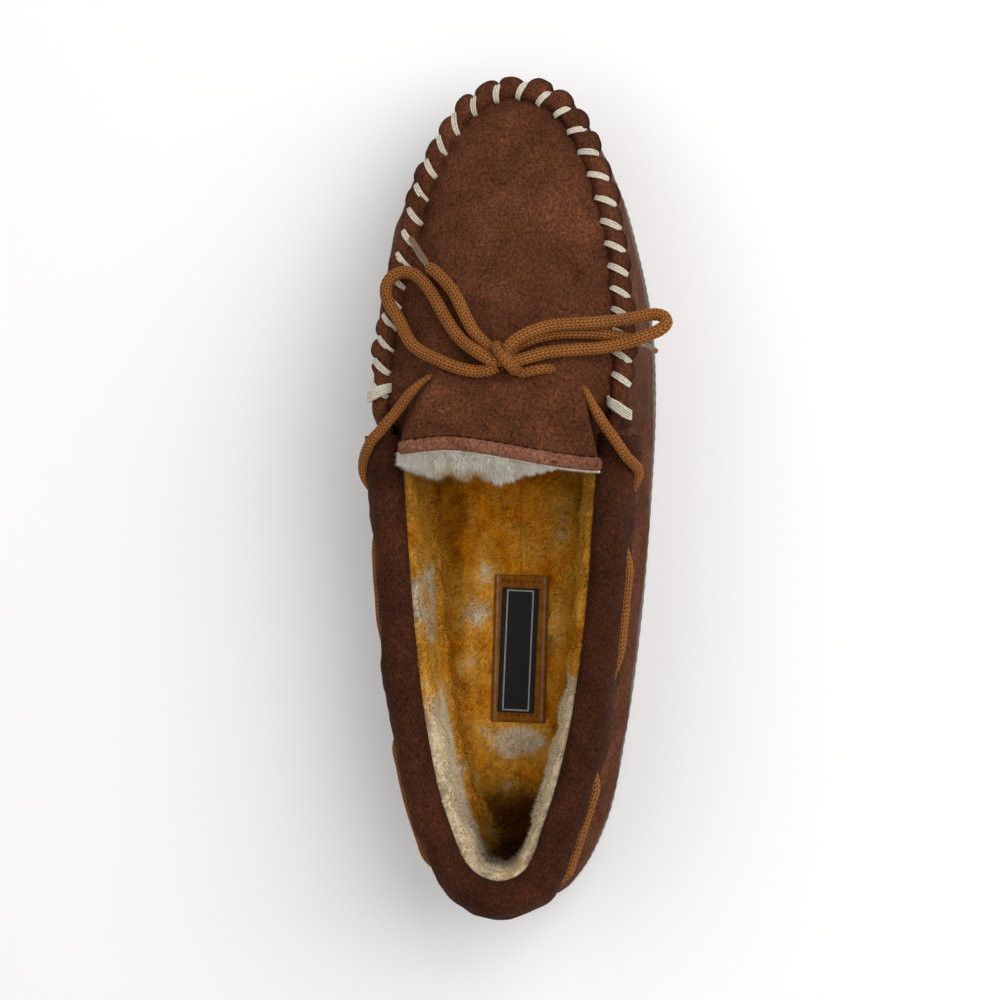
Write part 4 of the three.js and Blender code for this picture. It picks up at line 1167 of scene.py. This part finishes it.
def make_side_lining(looks):
    around = np.linspace(0, 22, 420, endpoint=False)
    rail = Rail(around)
    rows = lining_rows(rail)
    n, z = resampled(rows, 7)
    inner = rail.place(n, z)
    inner[..., 2] += ripple(inner, 0.006, 51) * 0.0004
    swell = ripple(inner, 0.012, 52) * 0.0006 + ripple(inner, 0.0035, 53) * 0.00015
    inner[..., :2] += swell[..., None] * rail.out[:, None]
    outer_n = np.minimum(n + 3.0, mix(-5.4, n + 3.0, smooth(0, 1.0, np.linspace(0, 8, n.shape[1]))[None]))
    outer = rail.place(outer_n, np.maximum(z - 0.8, 12.0))
    loop = np.concatenate([inner, outer[:, ::-1]], axis=1)
    t = np.linspace(0, 8, n.shape[1])[None]
    s = around[:, None]
    cream = cream_on_side(inner) * (1 - 0.7 * smooth(3.2, 5.2, t)) + ripple(inner, 0.02, 55) * 0.06
    # Painted shade on the lining: dark in the heel below its top, a soft dark line along the bottom corner,
    # and a little darker from the middle of the sides to the toe.
    deep = smooth(1.4, 3.2, t) * np.maximum(1 - smooth(0.7, 2.7, s), smooth(19.8, 21.3, s)) * 0.96
    deep = np.maximum(deep, 0.35 * np.exp(-((t - 5.6) / 1.0) ** 2)) + np.zeros_like(s)
    deep = np.maximum(deep, 0.22 * smooth(-0.078, -0.045, inner[..., 1]))
    wide = loop.shape[1]
    # Tip 0.32 paints the surface among the tufts' roots a little darker, as shade.
    marks = {"tip": np.full(loop.shape[:2], 0.32), "cream": np.concatenate([cream, cream[:, ::-1]], 1),
             "deep": np.concatenate([deep, deep[:, ::-1]], 1)}
    faces = grid_faces(len(around), wide, wrap_rows=True, wrap_columns=True)
    lining = piece("fleece_side_lining", loop, faces, looks["fleece"], covers=["side_lining"],
                   marks=marks)
    again = np.arange(-150, 151) % 420
    rear = np.stack([inner[i] for i in again])
    facing = normals_of(rear)
    inward = -Rail(around[again]).out
    flip = np.sign((facing[..., :2] * inward[:, None]).sum(-1).mean())
    for name, part, seed in (("side_pile_inner", slice(150, 301), 60),
                             ("side_pile_outer", slice(0, 151), 65)):
        pile(name, rear[part], (facing * flip)[part], cream[again][part], deep[again][part], 46000,
             0.0024, (0, -0.12, 0.3), looks, seed)


def footbed_ring(inset, count=220):
    rail = Rail(np.linspace(0, 22, count, endpoint=False))
    return rail.place((rail.sole_out - inset)[:, None], np.full((count, 1), OUTSOLE_TOP))[:, 0, :2]


def fan(inset, columns, count=220, ends=(-0.105, 0.098)):
    """Grid from an outline to its middle line: rings of points in plan."""
    edge = footbed_ring(inset, count)
    middle = np.stack([0.0016 + 0 * edge[:, 1], np.clip(edge[:, 1], *ends) * 0.97], 1)
    share = np.linspace(0, 1, columns)[None, :, None]
    return mix(edge[:, None], middle[:, None], share)


def on_patch(points):
    return (np.abs(points[:, 0] - 0.0014) < 0.0098) & (np.abs(points[:, 1] + 0.0535) < 0.0262)


def make_footbed(looks):
    plan = fan(12.0, 30)
    count, columns = plan.shape[:2]
    top = np.concatenate([plan, np.full((count, columns, 1), 0.0197)], -1)
    top[..., 2] += ripple(top, 0.006, 71) * 0.0005 + ripple(top, 0.016, 72) * 0.0005
    low = top[:, ::-1].copy()
    low[..., 2] = 0.0146
    x, y = top[..., 0], top[..., 1]
    under_patch = smooth(0.013, 0.010, np.abs(x - 0.0014)) * smooth(0.030, 0.026, np.abs(y + 0.0535))
    top[..., 2] -= under_patch * 0.0009
    loop = np.concatenate([low, top], axis=1)
    faces = grid_faces(count, loop.shape[1], wrap_rows=True, wrap_columns=True)
    cream = cream_on_footbed(top)
    # Painted shade on the footbed: toward the toe under the apron, strongly in the heel, and along its sides
    # by the walls; tip 0.32 paints the surface among the tufts' roots a little darker.
    deep = 0.5 * smooth(0.0, 0.03, y) + 0.9 * smooth(-0.093, -0.110, y)
    deep = np.maximum(deep, 0.35 * smooth(0.0175, 0.0215, np.abs(x - 0.0014)))
    marks = {"tip": np.full(loop.shape[:2], 0.32), "cream": np.concatenate([cream[:, ::-1], cream], 1),
             "deep": np.concatenate([deep[:, ::-1], deep], 1)}
    footbed = piece("fleece_footbed", loop, faces, looks["fleece"], covers=["footbed_fleece"],
                    weld=1e-6, marks=marks)
    again = np.arange(count + 1) % count
    surface = top[again]
    facing = normals_of(surface)
    facing *= np.sign(facing[..., 2:].mean())
    pile("footbed_pile", surface, facing, cream[again], deep[again], 49000, 0.0020, (0.05, -0.28, 0),
         looks, 80, bare=on_patch)


def make_vamp_lining(looks):
    """Fleece under the apron."""
    left = apron_half(6.9, 20, 50, inset=6.2, drop=6.0)
    right = apron_half(15.1, 20, 50, inset=6.2, drop=6.0)
    sheet = np.concatenate([left, right[:, -2::-1]], axis=1)
    sheet[..., 2] -= 0.0032
    sheet[..., 2] += ripple(sheet, 0.006, 91) * 0.0006
    size = sheet.shape[:2]
    # Painted shade: the fleece under the apron is a third of the way to the shade colour, and tip 0.4 darkens
    # it a little more.
    marks = {"tip": np.full(size, 0.4), "cream": 0.1 + ripple(sheet, 0.02, 93) * 0.2,
             "deep": np.full(size, 0.35)}
    lining = piece("fleece_vamp_lining", sheet, grid_faces(*size), looks["fleece"],
                   covers=["vamp_lining"], weld=1e-5, thick=2.6 * MM, marks=marks)
    facing = normals_of(sheet)
    facing *= -np.sign(facing[..., 2:].mean())
    pile("vamp_pile", sheet - (0, 0, 0.0026), facing, marks["cream"], marks["deep"], 12000, 0.0026,
         (0, -0.3, 0), looks, 95)


# How far the fleece reaches behind the tongue's edge, in millimetres, at places from -1 to 1 across.
FLEECE_REACH = [
    (-1.0, 6.5), (-0.8, 8.5), (-0.6, 11.0), (-0.46, 8.6), (-0.33, 11.8), (-0.2, 8.6), (0.03, 10.6),
    (0.25, 7.2), (0.54, 4.2), (0.7, 2.2), (0.85, 1.2), (1.0, 0.7),
]
TUFTS = 40000
FRAYED_TUFTS = 5000


def make_tongue_lining(looks):
    """White fleece under the tongue, its frayed edge and the wool that spills out behind it."""
    v = np.linspace(-0.93, 0.93, 80)
    end = tongue_top(v)
    back = np.linspace(0, 1, 20)[:, None, None]
    front = end * (0.84, 1, 1) + (0.0006, 0, -0.0006)
    front[:, 1] = 0.0285
    sheet = mix(end, front, back)
    sheet[..., 2] -= 0.0024
    sheet[..., 2] += ripple(sheet, 0.006, 101) * 0.0004
    lining = piece("tongue_fleece", sheet, grid_faces(20, 80), looks["white_fleece"],
                   body="tongue", covers=["tongue_lining"], thick=2.6 * MM,
                   marks={"tip": np.full((20, 80), 0.2)})
    draw = np.random.default_rng(103)
    count = TUFTS
    at = draw.uniform(-0.98, 0.98, count)
    top = tongue_top(at)
    reach = np.interp(at, *zip(*FLEECE_REACH)) * (1 + 0.05 * np.sin(at * 61))
    depth = draw.uniform(0, 1, count)
    share = draw.uniform(0, 1, count) ** 0.8
    thick = (1.0 - 0.75 * share) * np.clip(reach / 6, 0.25, 1)
    roots = top + np.stack([draw.normal(size=count) * 0.4, 0.6 - share * (reach - 2.2),
                            -1.2 - 1.0 * share - 3.0 * depth * thick], 1) * MM
    clump = np.stack([np.sin(at * 37 + 2), np.zeros(count), np.sin(at * 23)], 1) * 0.2
    ways = unit(np.array([0.0, -1.0, 0.05]) + clump + draw.normal(size=(count, 3)) * (0.3, 0.1, 0.3)
                + np.outer(smooth(-0.88, -1.0, at), (-1.1, 0.2, 0.5)))
    lengths = np.clip(reach * 0.42, 0.7, 4.0) * MM * draw.uniform(0.6, 1.15, count)
    points, faces, tip = tufts(roots, ways, lengths, draw.uniform(0.07, 0.12, count) * MM, 105)
    golden = np.clip(1 - np.abs(at + 0.5) / 0.28, 0, 1) + np.clip(1 - np.abs(at + 0.18) / 0.2, 0, 1)
    tip = np.maximum(tip * 0.4, np.repeat(smooth(0.72, 1.0, share) * np.clip(golden + 0.25, 0, 1), 4))
    piece("tongue_fleece_tufts", points, faces, looks["white_fleece"], body="tongue",
          marks={"tip": tip})
    count = FRAYED_TUFTS
    fray = tongue_top(draw.uniform(-0.99, 0.99, count))
    roots = fray + np.stack([np.zeros(count), np.full(count, -0.9), draw.uniform(-2.0, -0.7, count)], 1) * MM
    ways = unit(np.array([0.0, -1.0, 0.1]) + draw.normal(size=(count, 3)) * (0.6, 0.2, 0.35))
    lengths = draw.uniform(0.7, 1.5, count) * MM
    points, faces, tip = tufts(roots, ways, lengths, np.full(count, 0.12 * MM), 107)
    piece("tongue_frayed_edge", points, faces, looks["white_fleece"], body="tongue",
          marks={"tip": tip * 0.2})


# ---------------------------------------------------------------- label and sole
def plate(width, length, rows, columns, height, middle, turn, low, high):
    """A closed plate whose upper face follows height(x, y), in millimetres from its middle."""
    across, along = np.linspace(-width / 2, width / 2, columns), np.linspace(-length / 2, length / 2, rows)
    x, y = np.meshgrid(across, along)
    top = np.stack([x, y, high + height(x, y)], -1)
    base = np.stack([x, y, np.full_like(x, low)], -1)
    points = np.concatenate([top.reshape(-1, 3), base.reshape(-1, 3)])
    face = grid_faces(rows, columns)
    count = rows * columns
    rim = [*range(columns), *range(2 * columns - 1, count, columns),
           *range(count - 2, count - columns - 1, -1), *range(count - 2 * columns, 0, -columns)]
    sides = [[a, b, count + b, count + a] for a, b in zip(rim, rim[1:] + rim[:1])]
    c, s = math.cos(math.radians(turn)), math.sin(math.radians(turn))
    turned = points @ np.array([[c, s, 0], [-s, c, 0], [0, 0, 1]])
    turned = turned * MM + (*middle, 0)
    return turned, [*face.tolist(), *(face[:, ::-1] + count).tolist(), *sides], x, y


def make_label(looks):
    def bulge(x, y):
        away = np.abs(np.abs(x) - 8.3)
        bead = 0.55 * np.exp(-(away / 0.45) ** 2)
        rounded = 0.35 * smooth(8.9, 9.4, np.abs(x)) + 0.3 * smooth(24.8, 25.5, np.abs(y))
        return bead - 0.5 * holes(x, y) - rounded

    def holes(x, y):
        row = np.exp(-((np.abs(y) - 23.2) / 0.36) ** 2)
        return row * np.clip(np.cos(2 * np.pi * x / 2.2), 0, 1) ** 1.5 * (np.abs(x) < 7.2)

    points, faces, x, y = plate(18.8, 51, 150, 76, bulge, (0.0014, -0.0535), -1.5, 19.6, 20.5)
    pad = np.zeros(x.size)
    rim = np.exp(-((np.abs(x) - 8.3) / 0.5) ** 2)
    # The rim mark paints a highlight along the raised beads, and the hole mark paints shade in the stitch
    # holes.
    piece("stitched_patch", points, faces, looks["patch_leather"], covers=["label_patch"],
          marks={"rim": np.append(rim.ravel(), pad), "hole": np.append(holes(x, y).ravel(), pad)})

    def woven(x, y):
        weave = 0.05 * np.sin(x * 14) * np.sin(y * 14)
        return 0.12 * line(x, y) + weave - 0.25 * smooth(6.0, 6.3, np.abs(x))

    def line(x, y):
        inside = (np.abs(x) < 4.75) & (np.abs(y) < 20.9)
        edge = np.minimum(np.abs(4.5 - np.abs(x)), np.abs(20.65 - np.abs(y)))
        return (edge < 0.26) * inside * 1.0

    points, faces, x, y = plate(12.6, 43, 260, 100, woven, (0.0009, -0.0541), -2.5, 20.7, 21.3)
    piece("black_woven_label", points, faces, looks["label_weave"], covers=["woven_label"],
          marks={"frame": np.append(line(x, y).ravel(), np.zeros(x.size))})


STUD_PITCH = 5.2


def make_outsole(looks):
    """Rubber sole with a rounded, ribbed edge and a tread of small studs."""
    count, columns = 720, 96
    edge = footbed_ring(-0.4, count)
    middle = np.stack([0.0016 + 0 * edge[:, 1], np.clip(edge[:, 1], -0.1, 0.095) * 0.97], 1)
    share = np.linspace(0, 1, columns)[None, :, None]
    plan = mix(edge[:, None], middle[:, None], share)
    x, y = plan[..., 0] / MM, plan[..., 1] / MM
    inset = np.linalg.norm(plan - edge[:, None], axis=-1) / MM
    turn = 2 * np.pi / STUD_PITCH
    shifted = y + STUD_PITCH / 2 * np.round(x / (STUD_PITCH / 2)) % 2
    stud = np.clip(np.cos(turn * x) + np.cos(turn * shifted), -0.2, 0.5) / 0.5
    tread = smooth(3.0, 4.2, inset) * (1.1 - 1.1 * smooth(-0.1, 0.6, stud))
    low = np.concatenate([plan, (tread * MM)[..., None]], -1)
    low[..., 2] += 0.0012 * np.clip(1 - inset / 1.2, 0, 1) ** 2
    top = np.concatenate([plan[:, ::-1], np.full((count, columns, 1), OUTSOLE_TOP * MM)], -1)
    rail = Rail(np.linspace(0, 22, count, endpoint=False))
    heights = np.linspace(4.9, 1.6, 9)
    round_edge = np.sin(np.pi * (heights - 1.6) / 3.3)[None]
    ribs = 0.12 * np.cos(np.arange(count) * 2 * np.pi / 4)[:, None] * round_edge
    wall = rail.place((rail.sole_out + 0.4)[:, None] + ribs + 0.25 * round_edge,
                      np.full((count, 9), OUTSOLE_TOP))
    wall[..., 2] = heights * MM
    loop = np.concatenate([top, wall, low], axis=1)
    piece("rubber_outsole", loop, grid_faces(count, loop.shape[1], wrap_rows=True, wrap_columns=True),
          looks["sole_rubber"], covers=["outsole"], weld=1e-6)


def finish_inner_nodes(looks):
    """New materials for the hidden CAD nodes, which keep their shape."""
    for node, look in (("insole_board", "board"), ("insole_foam", "foam"), ("heel_counter", "board"),
                       ("toe_puff", "board")):
        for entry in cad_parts[node].material_slots:
            entry.material = looks[look]


# ---------------------------------------------------------------- stage
# Name, place, size in metres and power in watts.
LAMPS = (("key", (0.7, 0.35, 0.95), 1.1, 10.5), ("fill", (-0.7, 0.1, 0.9), 1.2, 1.3))
WORLD_LIGHT = 0.62


def make_stage():
    """A plain pale floor, even light from all round and two soft lamps."""
    bpy.ops.mesh.primitive_plane_add(size=6)
    floor = bpy.context.object
    floor.name = "floor"
    look = Look("floor", Roughness=0.9, Specular_IOR_Level=0.1)
    look.shader.inputs["Base Color"].default_value = (0.95, 0.95, 0.95, 1)
    floor.data.materials.append(look.material)
    world = bpy.data.worlds.new("studio")
    world.use_nodes = True
    background = world.node_tree.nodes["Background"]
    background.inputs["Color"].default_value = (1, 0.99, 0.98, 1)
    background.inputs["Strength"].default_value = WORLD_LIGHT
    bpy.context.scene.world = world
    for name, place, size, power in LAMPS:
        light = bpy.data.lights.new(name, "AREA")
        light.size = size
        light.energy = power
        lamp = bpy.data.objects.new(name, light)
        lamp.location = place
        lamp.rotation_euler = (-Vector(place)).to_track_quat("-Z", "Y").to_euler()
        bpy.context.scene.collection.objects.link(lamp)
    bpy.context.scene.view_settings.view_transform = "Standard"


# ---------------------------------------------------------------- the shoe
make_camera()
looks = make_looks()
make_laces(looks)
make_wall(looks)
make_apron(looks)
make_wings(looks)
make_binding(looks)
make_collar(looks)
make_whip_stitches(looks)
make_bar("bar_stitch_inner", "bar_stitch_left", BAR_STATIONS[0], -0.12, looks)
make_bar("bar_stitch_outer", "bar_stitch_right", BAR_STATIONS[1], 0.16, looks)
make_side_lining(looks)
make_footbed(looks)
make_vamp_lining(looks)
make_tongue_lining(looks)
make_label(looks)
make_outsole(looks)
finish_inner_nodes(looks)
make_stage()
